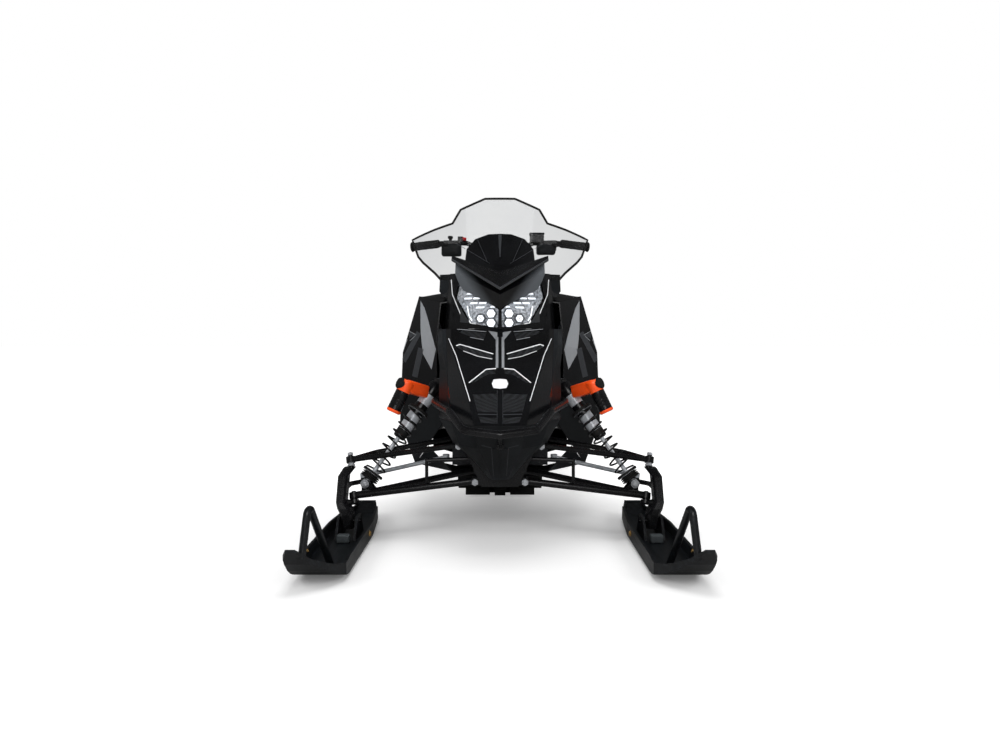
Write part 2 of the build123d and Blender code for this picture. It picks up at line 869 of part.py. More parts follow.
perch_radius = spring_radius + 6
with BuildPart() as front_shocks:
    for end in (shock_foot, shock_head):
        add(shock_pin(end, shock_eye_half, shock_eye_radius))
    add(bar(on_shock(0), on_shock(body_low + 20), shock_rod_radius))
    add(bar(on_shock(body_low), on_shock(shock_length - 52), shock_body_radius))
    add(bar(on_shock(body_low), on_shock(shock_length), 7))
    add(bar(on_shock(spring_low - 14), on_shock(spring_low - spring_wire - seat_gap), perch_radius))
    add(bar(on_shock(spring_high + spring_wire + seat_gap), on_shock(spring_high + 16), perch_radius))
    add(bar(on_shock(shock_length - 56), along(reservoir_low, reservoir_high, 0.85), 16))
    add(bar(reservoir_low, reservoir_high, shock_body_radius))
    for end in (shock_foot, shock_head):
        add(shock_pin(end, 40, pin_radius + seat_gap), mode=Mode.SUBTRACT)
    mirror(about=Plane.YZ)
keep(front_shocks.part, "front_shocks")

with BuildPart() as front_springs:
    spring_height = spring_high - spring_low
    with BuildLine():
        coil = Helix(
            pitch=spring_height / spring_turns,
            height=spring_height,
            radius=spring_radius,
            center=on_shock(spring_low),
            direction=shock_dir,
        )
    with BuildSketch(Plane(origin=coil @ 0, z_dir=coil % 0)):
        Circle(spring_wire)
    sweep(path=coil, is_frenet=True)
    mirror(about=Plane.YZ)
keep(front_springs.part, "front_springs")

link_foot = along(kingpin_low, pivot(front_pivot_y, lower_pivot_z), 0.6)
link_radius = 6
with BuildPart() as sway_bar:
    base_z = link_foot[2] + (lower_arm_radius + seat_gap) + 1
    top_z = 288
    add(bar((link_foot[0], link_foot[1], base_z), (link_foot[0], link_foot[1], top_z + 8), link_radius))
    add(
        bar(
            (link_foot[0], link_foot[1], top_z),
            (frame_side_x(top_z + 6) + seat_gap + 4, front_pivot_y, top_z + 6),
            8,
        )
    )
    mirror(about=Plane.YZ)
keep(sway_bar.part, "sway_bar")

# ---------------------------------------------------------------- front bumper
bumper_radius = 13
bumper_half = [
    (178.7, tower_front_y + tower_depth / 2, 500),
    (240, -900, 500),
    (232, -990, 500),
    (166, -1210, 490),
    (116, -1316, 442),
    (0, -1340, 430),
]
bumper_stay_foot = (0, -1190, 373)
bumper_stay_radius = 7
with BuildPart() as front_bumper:
    add(bent_tube(both_ways(bumper_half), 34, bumper_radius))
    add(bar(bumper_half[-1], bumper_stay_foot, bumper_stay_radius))
keep(front_bumper.part, "front_bumper")

# ---------------------------------------------------------------- engine and steering hoop
engine_front_y = frame_rear_y + seat_gap
engine_rear_y = -478
engine_top_z = 600
with BuildPart() as engine:
    with BuildSketch(beside(-190)):
        Polygon(
            (engine_front_y, 225),
            (engine_rear_y, 225),
            (engine_rear_y, tunnel_top + 4),
            (engine_rear_y + 110, tunnel_top + 4),
            (engine_rear_y + 110, engine_top_z),
            (engine_front_y, engine_top_z),
            align=None,
        )
    extrude(amount=380)
keep(engine.part, "engine")


def on_post(distance):
    """The point a distance down the steering post from the handlebar's clamp."""
    return tuple(Vector(*post_top) - post_axis * distance)


collar_low = 330
collar_high = 290
hoop_tube = 11
with BuildPart() as steering_hoop:
    add(bar(on_post(collar_low), on_post(collar_high), 32))
    for side in sides.values():
        tower_foot = (side * 150, tower_front_y + tower_depth - 12, tower_top_z + seat_gap + hoop_tube)
        tunnel_foot = (side * 150, -60, tunnel_top + seat_gap + hoop_tube)
        for foot in (tower_foot, tunnel_foot):
            add(bar(on_post(collar_low - 12), foot, hoop_tube))
            add(bar((*foot[:2], foot[2] - hoop_tube), (*foot[:2], foot[2] + 6), hoop_tube + 4))
    add(bar(on_post(420), on_post(200), post_radius + seat_gap), mode=Mode.SUBTRACT)
keep(steering_hoop.part, "steering_hoop")

# ---------------------------------------------------------------- handlebar
bar_half = [
    (405, -96, 1146),
    (268, -120, 1160),
    (150, -128, 1160),
    (78, -122, 1120),
]
with BuildPart() as handlebar:
    add(bar(on_post(post_below), on_post(-post_above), post_radius))
    add(bar(on_post(collar_high - seat_gap), on_post(collar_high - seat_gap - 14), 24))
    add(bent_tube(bar_half + mirrored(reversed(bar_half)), 24, bar_radius))
    with BuildSketch(Plane(origin=on_post(-2), z_dir=post_axis)):
        RectangleRounded(92, 46, 10)
    extrude(amount=46)
    for side in sides.values():
        grip_in = (side * bar_half[1][0], *bar_half[1][1:])
        grip_out = (side * bar_half[0][0], *bar_half[0][1:])
        add(bar(along(grip_in, grip_out, 0.08), grip_out, grip_radius))
        with Locations((side * 218, -132, 1148)):
            Box(78, 46, 44)
        add(bar((side * 240, -150, 1150), (side * 262, -172, 1146), 8))
        add(bar((side * 258, -172, 1146), (side * 378, -160, 1130), 6))
    with Locations((168, -140, 1180)):
        Box(64, 42, 36)
    with Locations((-182, -132, 1176)):
        Box(22, 26, 26)
keep(handlebar.part, "handlebar")

# ---------------------------------------------------------------- seat
seat_rear_y = 950
# columns: y, half width at the bottom, half width at the widest, half width at the top, top z
seat_stations = [
    (73, 92, 104, 70, 868),
    (200, 120, 136, 100, 838),
    (560, 142, 160, 118, 838),
    (860, 146, 164, 120, 862),
    (seat_rear_y, 136, 150, 104, 858),
]
seat_bottom_z = 700
seat_wide_z = seat_bottom_z + 62
seat_crown = 4
seat = lofted(
    (
        across(y),
        both_ways([(low, seat_bottom_z), (wide, seat_wide_z), (top, top_z), (0, top_z + seat_crown)]),
    )
    for y, low, wide, top, top_z in seat_stations
)
keep(seat, "seat")
seat_base = lofted(
    (
        across(y),
        [
            (-low, tunnel_top + seat_gap),
            (low, tunnel_top + seat_gap),
            (low, seat_bottom_z - seat_gap),
            (-low, seat_bottom_z - seat_gap),
        ],
    )
    for y, low, *rest in seat_stations
)
keep(seat_base, "seat_base")

# ---------------------------------------------------------------- tunnel and running boards
board_front_y = -185
board_rear_y = 1010
board_edge_radius = 11
board_middle = ((tunnel_half + board_outer) / 2, (board_front_y + board_rear_y) / 2)
board_plate = 3
slot_count = 14
slot_pitch = (board_rear_y - board_front_y - 100) / slot_count
rack_middle_y = tunnel_rear_y - 180
rack_hole_x = 90
rack_hole_y = 75
rack_hole_radius = 5.5
with BuildPart() as tunnel:
    with BuildSketch(beside(-tunnel_half)):
        Polygon(
            (tunnel_front_y, 330),
            (board_front_y, board_z),
            (board_rear_y, board_z),
            (tunnel_rear_y, 400),
            (tunnel_rear_y, tunnel_top),
            (tunnel_front_y, tunnel_top),
            align=None,
        )
    extrude(amount=2 * tunnel_half)
    with BuildSketch(beside(-tunnel_half + tunnel_wall)):
        Polygon(
            (tunnel_front_y - 10, 200),
            (tunnel_rear_y + 10, 200),
            (tunnel_rear_y + 10, tunnel_top - tunnel_wall),
            (tunnel_front_y - 10, tunnel_top - tunnel_wall),
            align=None,
        )
    extrude(amount=2 * (tunnel_half - tunnel_wall), mode=Mode.SUBTRACT)
    for side in sides.values():
        with Locations((side * board_middle[0], board_middle[1], board_z + board_plate / 2)):
            Box(board_outer - tunnel_half + 2, board_rear_y - board_front_y, board_plate)
        edge_x = side * board_outer
        add(bar((edge_x, board_front_y, board_z), (edge_x, board_rear_y, board_z), board_edge_radius))
    for x in (-rack_hole_x, rack_hole_x):
        for y in (rack_middle_y - rack_hole_y, rack_middle_y + rack_hole_y):
            hole = bar((x, y, tunnel_top - 20), (x, y, tunnel_top + 20), rack_hole_radius)
            add(hole, mode=Mode.SUBTRACT)
    for side in sides.values():
        with BuildSketch(level(board_z)):
            with Locations((side * board_middle[0], board_middle[1])):
                with GridLocations(74, slot_pitch, 2, slot_count):
                    RectangleRounded(58, 30, 8)
        extrude(amount=board_plate, mode=Mode.SUBTRACT)
keep(tunnel.part, "tunnel")

# ---------------------------------------------------------------- rear bumper, snow flap and tail lamp
rear_tube = 12
hitch_y = tunnel_rear_y + 168
hitch_z = 495
hitch_plate = 10
hitch_hole_radius = 8
rear_rail_x = tunnel_half + seat_gap + rear_tube
rear_half = [
    (rear_rail_x, tunnel_rear_y - 230, 470),
    (rear_rail_x, tunnel_rear_y + 20, 470),
    (rear_rail_x - 18, tunnel_rear_y + 122, 500),
    (0, tunnel_rear_y + 130, 500),
]
with BuildPart() as rear_bumper:
    add(bent_tube(both_ways(rear_half), 40, rear_tube))
    with BuildSketch(level(hitch_z)):
        with Locations((0, hitch_y - 18)):
            Rectangle(46, 66)
        with Locations((0, hitch_y)):
            Circle(hitch_hole_radius, mode=Mode.SUBTRACT)
    extrude(amount=hitch_plate)
keep(rear_bumper.part, "rear_bumper")

flap_top_half = 190
flap_low_half = 225
flap_line = [
    (tunnel_rear_y - 60, tunnel_top + seat_gap),
    (tunnel_rear_y + 60, tunnel_top + seat_gap),
    (tunnel_rear_y + 150, 440),
    (tunnel_rear_y + 225, 330),
    (rear_y, 190),
]
flap_wall = 4
with BuildPart() as snow_flap:
    with BuildSketch(beside(-flap_low_half)):
        Polygon(*wall_outline(flap_line, flap_wall), align=None)
    extrude(amount=2 * flap_low_half)
    with BuildSketch(across(tunnel_rear_y - 80)):
        Polygon(
            (-flap_top_half, 600),
            (-flap_top_half, 480),
            (-flap_low_half, 420),
            (-flap_low_half, 150),
            (flap_low_half, 150),
            (flap_low_half, 420),
            (flap_top_half, 480),
            (flap_top_half, 600),
            align=None,
        )
    extrude(amount=-600, mode=Mode.INTERSECT)
keep(snow_flap.part, "snow_flap")

with BuildPart() as tail_lamp:
    with BuildSketch(beside(-80)):
        Polygon(
            (seat_rear_y + seat_gap, 720),
            (1010, 720),
            (1016, 744),
            (1000, 790),
            (seat_rear_y + seat_gap, 806),
            align=None,
        )
    extrude(amount=160)
keep(tail_lamp.part, "tail_lamp")

# ---------------------------------------------------------------- track
idler_z = lug_height + track_belt + idler_radius
nose_z = lug_height + track_belt + track_nose_radius
# columns: y, z, radius of the belt's inner face, in the order the belt runs
track_wheels = [
    (sprocket_y, sprocket_z, sprocket_radius),
    (carrier_y, carrier_z, carrier_radius),
    (idler_y, idler_z, idler_radius),
    (track_nose_y, nose_z, track_nose_radius),
]


def belt_outline(grow):
    """The belt's closed outline grown outwards from its inner face, as arcs round the wheels."""
    count = len(track_wheels)
    normals = []
    for here, after in zip(track_wheels, track_wheels[1:] + track_wheels[:1]):
        run = Vector(after[0] - here[0], after[1] - here[1])
        lean = (here[2] - after[2]) / run.length
        ahead = run.normalized()
        normals.append(ahead * lean + Vector(-ahead.Y, ahead.X) * sqrt(1 - lean**2))
    arcs = []
    for index, (y, z, radius) in enumerate(track_wheels):
        start, end = normals[index - 1], normals[index]
        middle = (start + end).normalized()
        if start.cross(end).Z > 0:
            middle = middle * -1
        arcs.append([Vector(y, z) + way * (radius + grow) for way in (start, middle, end)])
    with BuildLine() as outline:
        for index in range(count):
            ThreePointArc(*arcs[index])
            Line(arcs[index][2], arcs[(index + 1) % count][0])
    return outline.line


lug_bands = [(-157, -47, 0), (-25, 25, 0.5), (47, 157, 0)]  # columns: from x, to x, stagger in pitches
lug_root = 2  # how far a lug's foot reaches into the belt


def lug_outlines(stagger):
    """Every lug of one band, seen from the side, as four corners square to the belt."""
    path = belt_outline(track_belt)
    outlines = []
    for index in range(lug_count):
        share = (index + stagger) / lug_count
        foot, ahead = path @ share, path % share
        out = Vector(-ahead.Y, ahead.X)
        low, high = foot - out * lug_root, foot + out * lug_height
        half_foot, half_top = ahead * (lug_thickness * 0.75), ahead * (lug_thickness / 2)
        outlines.append([low - half_foot, low + half_foot, high + half_top, high - half_top])
    return outlines


with BuildPart() as track:
    with BuildSketch(beside(-track_width / 2)):
        add(belt_outline(track_belt))
        make_face()
    extrude(amount=track_width)
    with BuildSketch(beside(-track_width / 2)):
        add(belt_outline(0))
        make_face()
    extrude(amount=track_width, mode=Mode.SUBTRACT)
    for low_x, high_x, stagger in lug_bands:
        with BuildSketch(beside(low_x)):
            for outline in lug_outlines(stagger):
                Polygon(*[(point.X, point.Y) for point in outline], align=None)
        extrude(amount=high_x - low_x)
keep(track.part, "track")

# ---------------------------------------------------------------- rear suspension
rail_top_z = 118
rail_gap = 0.5
belt_floor = nose_z - track_nose_radius  # the belt's inner face along the ground
rail_bar_radius = 11
front_bar, shock_bar, rear_bar = [(190, 96), (560, 96), (800, 96)]  # the rails' cross bars, as y, z
with BuildPart() as slide_rails:
    for side in sides.values():
        with BuildSketch(beside(side * rail_x - rail_thickness / 2)):
            Polygon(
                (track_nose_y, belt_floor + rail_gap),
                (idler_y - 66, belt_floor + rail_gap),
                (idler_y + 12, idler_z - 20),
                (idler_y + 12, idler_z + 20),
                (idler_y - 120, rail_top_z),
                (track_nose_y - 10, rail_top_z + 10),
                (track_nose_y - 46, nose_z + 12),
                (track_nose_y - 50, nose_z - 8),
                (track_nose_y - 34, nose_z - 42),
                align=None,
            )
            with Locations((idler_y, idler_z)):
                Circle(axle_radius + seat_gap, mode=Mode.SUBTRACT)
        extrude(amount=rail_thickness)
    for y, z in (front_bar, shock_bar, rear_bar):
        add(bar((-rail_x, y, z), (rail_x, y, z), rail_bar_radius))
keep(slide_rails.part, "slide_rails")

road_wheel_radius = 58
road_wheel_z = belt_floor + rail_gap + road_wheel_radius
road_wheel_rows = [330, 700]
# columns: x, y, z, radius, half width
wheel_rows = [
    (55, idler_y, idler_z, idler_radius - rail_gap, 14),
    (150, idler_y, idler_z, idler_radius - rail_gap, 14),
    (120, carrier_y, carrier_z, carrier_radius - rail_gap, 12),
]
wheel_rows += [(140, y, road_wheel_z, road_wheel_radius, 12) for y in road_wheel_rows]
wheel_hub_radius = 24
wheel_rim = 10  # depth of the rim under the tread
wheel_dish = 5  # how far the web is set in from the wheel's face


def wheel(x, y, z, radius, half):
    """A wheel with a rim, a set-in web and a hub."""
    with BuildPart() as piece:
        add(bar((x - half, y, z), (x + half, y, z), radius))
        for face_x, way in ((x + half, -1), (x - half, 1)):
            with BuildSketch(Plane(origin=(face_x, y, z), x_dir=(0, 1, 0), z_dir=(way, 0, 0))):
                Circle(radius - wheel_rim)
                Circle(wheel_hub_radius, mode=Mode.SUBTRACT)
            extrude(amount=wheel_dish, mode=Mode.SUBTRACT)
    return piece.part


shaft_half = tunnel_half - tunnel_wall - seat_gap
with BuildPart() as rear_wheels:
    for x, y, z, radius, half in wheel_rows:
        for side in sides.values():
            add(wheel(side * x, y, z, radius, half))
    add(bar((-166, idler_y, idler_z), (166, idler_y, idler_z), axle_radius))
    for y in road_wheel_rows:
        for side in sides.values():
            stub = side * (rail_x + rail_thickness / 2 + seat_gap)
            add(bar((stub, y, road_wheel_z), (side * 140, y, road_wheel_z), 10))
    add(bar((-shaft_half, carrier_y, carrier_z), (shaft_half, carrier_y, carrier_z), axle_radius))
keep(rear_wheels.part, "rear_wheels")

with BuildPart() as drive_axle:
    add(bar((-shaft_half, sprocket_y, sprocket_z), (shaft_half, sprocket_y, sprocket_z), axle_radius))
    for x in (-72, 72):
        add(wheel(x, sprocket_y, sprocket_z, sprocket_radius - rail_gap, 22))
keep(drive_axle.part, "drive_axle")

# ---------------------------------------------------------------- rear suspension arms and shock
arm_tube = 13
arm_half = 60
arm_x = arm_half - 20
front_arm = (-60, 330)  # the front arm's shaft in the tunnel, as y, z
carrier = (carrier_y, carrier_z)
arm_joints = [(front_bar, rail_bar_radius), (carrier, axle_radius), (rear_bar, rail_bar_radius)]
with BuildPart() as rear_arms:
    add(bar((-shaft_half, *front_arm), (shaft_half, *front_arm), arm_tube))
    for joint, radius in arm_joints:
        add(bar((-arm_half, *joint), (arm_half, *joint), radius + 6))
    for x in (-arm_x, arm_x):
        add(bar((x, *front_arm), (x, *front_bar), arm_tube))
        add(bar((x, *carrier), (x, *rear_bar), arm_tube))
    for joint, radius in arm_joints:
        hole = bar((-2 * arm_half, *joint), (2 * arm_half, *joint), radius + seat_gap)
        add(hole, mode=Mode.SUBTRACT)
keep(rear_arms.part, "rear_arms")

shock_eye = 14
with BuildPart() as rear_shock:
    top, foot = (0, *front_arm), (0, *shock_bar)
    add(bar((-shock_eye, *front_arm), (shock_eye, *front_arm), arm_tube + 7))
    add(bar((-shock_eye, *shock_bar), (shock_eye, *shock_bar), rail_bar_radius + 6))
    add(bar(top, foot, 9))
    add(bar(along(top, foot, 0.08), along(top, foot, 0.5), 24))
    add(bar(along(top, foot, 0.5), along(top, foot, 0.86), 30))
    for joint, radius in ((front_arm, arm_tube), (shock_bar, rail_bar_radius)):
        hole = radius + seat_gap
        add(bar((-3 * shock_eye, *joint), (3 * shock_eye, *joint), hole), mode=Mode.SUBTRACT)
keep(rear_shock.part, "rear_shock")
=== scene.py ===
# %% [markdown]
# # A snowmobile, dressed
# The solid model of a snowmobile is loaded as a fixed frame: skis on swinging spindles, a rubber
# track under a folded tunnel, and a body of flat facets. This lesson gives every surface its finish
# and adds the pieces that are too fine or too soft for the solid model. The machine faces -Y, its
# rider's left hand is at +X, Z is up, and every length is in metres.

from math import cos, pi, radians, sin, sqrt
from types import SimpleNamespace

import bmesh
import bpy
from mathutils import Matrix, Vector
from mathutils.bvhtree import BVHTree


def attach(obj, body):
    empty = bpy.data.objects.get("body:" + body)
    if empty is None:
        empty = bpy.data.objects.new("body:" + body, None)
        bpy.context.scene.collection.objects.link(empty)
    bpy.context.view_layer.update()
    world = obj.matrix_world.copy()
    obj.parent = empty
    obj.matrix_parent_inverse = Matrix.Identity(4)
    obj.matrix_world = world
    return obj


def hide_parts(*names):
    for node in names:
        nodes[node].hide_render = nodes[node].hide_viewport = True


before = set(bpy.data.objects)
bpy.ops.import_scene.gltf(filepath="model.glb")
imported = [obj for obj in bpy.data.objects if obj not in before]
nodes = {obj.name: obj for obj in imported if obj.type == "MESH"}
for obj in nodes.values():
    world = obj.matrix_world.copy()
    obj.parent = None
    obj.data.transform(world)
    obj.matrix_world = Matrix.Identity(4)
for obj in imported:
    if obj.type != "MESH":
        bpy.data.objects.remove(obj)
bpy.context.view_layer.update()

# %% [markdown]
# ## Camera
# The viewer stands in front of the machine at chest height and looks slightly down. A lens of
# 29 mm this close makes the skis look large and the tail small, which is how the eye meets it.

# %% Camera
def placed(name, data):
    """A new object in the scene."""
    made = bpy.data.objects.new(name, data)
    bpy.context.scene.collection.objects.link(made)
    return made


downward = radians(2.98)
camera_data = bpy.data.cameras.new("camera")
camera_data.lens = 29.1
camera_data.sensor_width = 36
camera = placed("camera", camera_data)
camera.location = (0, -3.86, 0.75)
camera.rotation_euler = (pi / 2 - downward, 0, 0)
bpy.context.scene.camera = camera
bpy.context.scene.view_settings.view_transform = "Standard"

# %% [markdown]
# ## Colour and shader nodes
# A hex colour is written for a screen, and a shader wants linear light, so one function turns one
# into the other. A second function adds any shader node with its settings and links. The rest
# make what most finishes share: sums, noise, bumps, tints and roughness.


# %% Helpers for colour and for shader nodes
def linear(hex_colour):
    """The linear colour of an sRGB hex value."""
    channels = [int(hex_colour[i : i + 2], 16) / 255 for i in (1, 3, 5)]
    straight = [c / 12.92 if c <= 0.04045 else ((c + 0.055) / 1.055) ** 2.4 for c in channels]
    return (*straight, 1.0)


def add_node(tree, kind, settings=None, **links):
    """Adds a shader node, sets its properties, and fills or links its inputs by name or as i0, i1."""
    node = tree.nodes.new(f"ShaderNode{kind}")
    for key, value in (settings or {}).items():
        setattr(node, key, value)
    for key, value in links.items():
        socket = node.inputs[int(key[1:])] if key[1:].isdigit() else node.inputs[key.replace("_", " ")]
        if isinstance(value, bpy.types.NodeSocket):
            tree.links.new(value, socket)
        else:
            socket.default_value = value
    return node


def reckoned(tree, operation, *values, clamp=False):
    """The outcome of a Math node on its values."""
    inputs = {f"i{k}": value for k, value in enumerate(values)}
    return add_node(tree, "Math", {"operation": operation, "use_clamp": clamp}, **inputs).outputs[0]


def ranged(tree, value, low, high, **limits):
    """A value of 0 to 1, or of the given limits, spread over low to high."""
    return add_node(tree, "MapRange", Value=value, To_Min=low, To_Max=high, **limits).outputs[0]


def bare_tree(owner):
    """The emptied node tree of a material or a world."""
    owner.use_nodes = True
    owner.node_tree.nodes.clear()
    return owner.node_tree


def finish_named(name, **sockets):
    """A new material with one Principled shader, and its look: tree, shader and Object coordinates."""
    made = bpy.data.materials.new(name)
    tree = bare_tree(made)
    shader = add_node(tree, "BsdfPrincipled", **sockets)
    add_node(tree, "OutputMaterial", Surface=shader.outputs[0])
    place = add_node(tree, "TexCoord").outputs["Object"]
    return made, SimpleNamespace(tree=tree, shader=shader, place=place)


def bumped(look, fac, height_mm, strength):
    """Bumps a surface by up to height_mm with fac."""
    bump = add_node(look.tree, "Bump", Height=fac, Distance=height_mm / 1000, Strength=strength)
    look.tree.links.new(bump.outputs[0], look.shader.inputs["Normal"])


def noise(look, vector, scale, detail):
    """Noise from 0 to 1."""
    return add_node(look.tree, "TexNoise", Vector=vector, Scale=scale, Detail=detail).outputs["Fac"]


def clouds(look, size_mm, detail=3.0):
    """Soft blotches about size_mm wide, from 0 to 1."""
    return noise(look, look.place, 1000 / size_mm, detail)


def streaks(look, stretch, scale, detail):
    """Noise drawn out along the axes whose stretch is small, from 0 to 1."""
    drawn = add_node(look.tree, "Mapping", Vector=look.place, Scale=stretch).outputs[0]
    return noise(look, drawn, scale, detail)


def checks(look, vector, size_mm):
    """A chequered pattern of 0 and 1, with cells size_mm wide."""
    return add_node(look.tree, "TexChecker", Vector=vector, Scale=1000 / size_mm).outputs["Fac"]


def grain(look, size_mm, height_mm, detail=2.0):
    """Bumps a surface with noise whose blobs are about size_mm wide and height_mm high."""
    blobs = clouds(look, size_mm, detail)
    bumped(look, blobs, height_mm, strength=1.0)
    return blobs


def tinted(look, fac, dark, light, low=0.35, high=0.65):
    """Runs the base colour from dark to light where fac goes from low to high."""
    ramp = add_node(look.tree, "ValToRGB", Fac=fac)
    ramp.color_ramp.elements[0].position = low
    ramp.color_ramp.elements[0].color = linear(dark)
    ramp.color_ramp.elements[1].position = high
    ramp.color_ramp.elements[1].color = linear(light)
    look.tree.links.new(ramp.outputs[0], look.shader.inputs["Base Color"])


def roughened(look, fac, smooth, rough):
    """Runs the roughness from smooth to rough with fac."""
    look.tree.links.new(ranged(look.tree, fac, smooth, rough), look.shader.inputs["Roughness"])


# %% [markdown]
# ## Floor, surroundings and lamps
# The machine stands on white paper in a white room. The paper and the room look white to the
# camera and through the windshield. In reflections both are dim, as black cloth round a studio
# makes them, and the room is a little brighter towards its sides, so gloss black panels stay black
# and their facets still part from each other. The paper also glows by itself, which washes its
# shadows out. It glows least between the skis, and there the shadows stay.

# %% Floor
floor_reach = 40
bm = bmesh.new()
bmesh.ops.create_grid(bm, x_segments=1, y_segments=1, size=floor_reach)
floor_mesh = bpy.data.meshes.new("floor")
bm.to_mesh(floor_mesh)
bm.free()
floor = placed("floor", floor_mesh)


def seen_directly(tree):
    """1 for rays that left the camera and met nothing but clear sheets on the way, else 0."""
    rays = add_node(tree, "LightPath")
    camera_ray, through = rays.outputs["Is Camera Ray"], rays.outputs["Is Transmission Ray"]
    either = reckoned(tree, "MAXIMUM", camera_ray, through)
    bounced = reckoned(tree, "ADD", rays.outputs["Glossy Depth"], rays.outputs["Diffuse Depth"])
    return reckoned(tree, "SUBTRACT", either, bounced, clamp=True)


lift_near, lift_far = 0.1, 0.62  # the glow's strength between the skis and away from them
near_m, far_m = 0.8, 1.5  # how far from the point between the skis those two strengths hold
skis_at = (0, -1.3, 0)
paper_white, paper_mirrored = 0.79, 0.22  # what the paper scatters, and how bright it is in reflections
paper = bpy.data.materials.new("white_paper")
tree = bare_tree(paper)
position = add_node(tree, "NewGeometry").outputs["Position"]
away = add_node(tree, "VectorMath", {"operation": "DISTANCE"}, i0=position, i1=skis_at).outputs["Value"]
reach = ranged(tree, away, lift_near, lift_far, From_Min=near_m, From_Max=far_m)
lift = reckoned(tree, "MULTIPLY", seen_directly(tree), reach)
reflected = add_node(tree, "LightPath").outputs["Is Glossy Ray"]
mirrored = reckoned(tree, "SUBTRACT", reflected, seen_directly(tree), clamp=True)
card = add_node(tree, "BsdfDiffuse", Color=ranged(tree, mirrored, paper_white, paper_mirrored))
glow = add_node(tree, "Emission", Color=(1, 1, 1, 1), Strength=lift)
both = add_node(tree, "AddShader", i0=card.outputs[0], i1=glow.outputs[0])
add_node(tree, "OutputMaterial", Surface=both.outputs[0])
floor_mesh.materials.append(paper)

# %% Surroundings and lamps
room_light = 0.5  # the room's light on matt surfaces
cloth_ahead, cloth_aside = 0.02, 0.2  # how bright the room is in reflections
world = bpy.data.worlds.new("studio")
bpy.context.scene.world = world
tree = bare_tree(world)
reflected = add_node(tree, "LightPath").outputs["Is Glossy Ray"]
outlook = add_node(tree, "TexCoord").outputs["Generated"]
heading = add_node(tree, "SeparateXYZ", Vector=outlook)
sideways = reckoned(tree, "ABSOLUTE", heading.outputs["X"])
room = ranged(tree, reflected, room_light, ranged(tree, sideways, cloth_ahead, cloth_aside))
strength = reckoned(tree, "MAXIMUM", seen_directly(tree), room)
sky = add_node(tree, "Background", Color=(1, 1, 1, 1), Strength=strength)
add_node(tree, "OutputWorld", Surface=sky.outputs[0])

# Only the front lamp shows in reflections, as thin glints on tubes and edges.
# columns: name, place, the point it faces, size, watts
lamps = [
    ("lamp_top", (0, -0.6, 3.6), (0, -0.2, 0.5), 2.4, 60),
    ("lamp_left", (3.0, -2.6, 2.2), (0, -0.8, 0.6), 1.6, 45),
    ("lamp_right", (-3.0, -2.6, 2.2), (0, -0.8, 0.6), 1.6, 45),
    ("lamp_front", (0, -4.4, 1.8), (0, -0.8, 0.6), 1.6, 38),
]
for name, place, target, size, watts in lamps:
    lamp_data = bpy.data.lights.new(name, "AREA")
    lamp_data.energy = watts
    lamp_data.size = size
    lamp = placed(name, lamp_data)
    lamp.location = place
    lamp.visible_glossy = name == "lamp_front"
    lamp.rotation_euler = (Vector(target) - Vector(place)).to_track_quat("-Z", "Y").to_euler()

# %% [markdown]
# ## Body plastics
# The outer panels are injection-moulded and then clear-coated, so they are black with a sharp
# reflection that wavers a little, like orange peel. The lower and inner panels are left as they
# leave the mould, with a spark-eroded grain of about half a millimetre that scatters the light.

# %% Gloss-coated ABS
coated_abs, look = finish_named(
    "coated_abs", IOR=1.5, Specular_IOR_Level=0.4, Coat_Weight=0.12, Coat_Roughness=0.12
)
grain(look, size_mm=9, height_mm=0.05)
dust = clouds(look, size_mm=160)
tinted(look, dust, "#070708", "#0D0E10")
roughened(look, dust, 0.16, 0.27)

# %% Grained polypropylene
grained_pp, look = finish_named("grained_polypropylene", IOR=1.49, Specular_IOR_Level=0.28)
speck = grain(look, size_mm=1.4, height_mm=0.25, detail=4)
tinted(look, clouds(look, size_mm=220), "#0E1012", "#191C1F")
roughened(look, speck, 0.38, 0.56)

# %% [markdown]
# ## Coated and bare metal
# Arms, spindles and the frame are steel with a baked powder coat: satin black, faintly pebbled.
# Tie rods and shock bodies are bare aluminium, drawn or turned, so fine lines run along or round
# them. The tunnel is folded sheet with a thinner paint that shows rubs along its length.

# %% Powder-coated steel
powder_coat, look = finish_named("powder_coated_steel", IOR=1.5, Specular_IOR_Level=0.42)
pebble = grain(look, size_mm=2.2, height_mm=0.12, detail=3)
tinted(look, clouds(look, size_mm=90), "#070708", "#0F0F11")
roughened(look, pebble, 0.2, 0.33)

# %% Spring steel in gloss enamel
spring_enamel, look = finish_named("spring_enamel", IOR=1.5, Coat_Weight=0.4)
tinted(look, grain(look, size_mm=3, height_mm=0.05), "#070708", "#101012")
roughened(look, clouds(look, size_mm=30), 0.15, 0.3)


# %% Drawn and turned aluminium
def aluminium(name, dark, light, stretch, metallic=0.5):
    """Bare metal whose tool lines are stretched along the axes given by three scales."""
    made, look = finish_named(name, Metallic=metallic)
    streak = streaks(look, stretch, scale=420, detail=4)
    bumped(look, streak, height_mm=0.2, strength=0.5)
    tinted(look, streak, dark, light)
    roughened(look, clouds(look, size_mm=40), 0.22, 0.4)
    return made


drawn_aluminium = aluminium("drawn_aluminium", "#8E9196", "#BFC3C8", (0.04, 1, 1))
turned_aluminium = aluminium("turned_aluminium", "#9A9DA2", "#BCBFC4", (1, 1, 1), metallic=0.15)

# %% Painted tunnel sheet
tunnel_paint, look = finish_named(
    "painted_aluminium_sheet", IOR=1.5, Specular_IOR_Level=0.45
)
rubs = streaks(look, (1, 0.06, 1), scale=60, detail=6)
tinted(look, rubs, "#0B0B0C", "#1D1E20", 0.45, 0.75)
roughened(look, rubs, 0.3, 0.5)
grain(look, size_mm=3, height_mm=0.06)

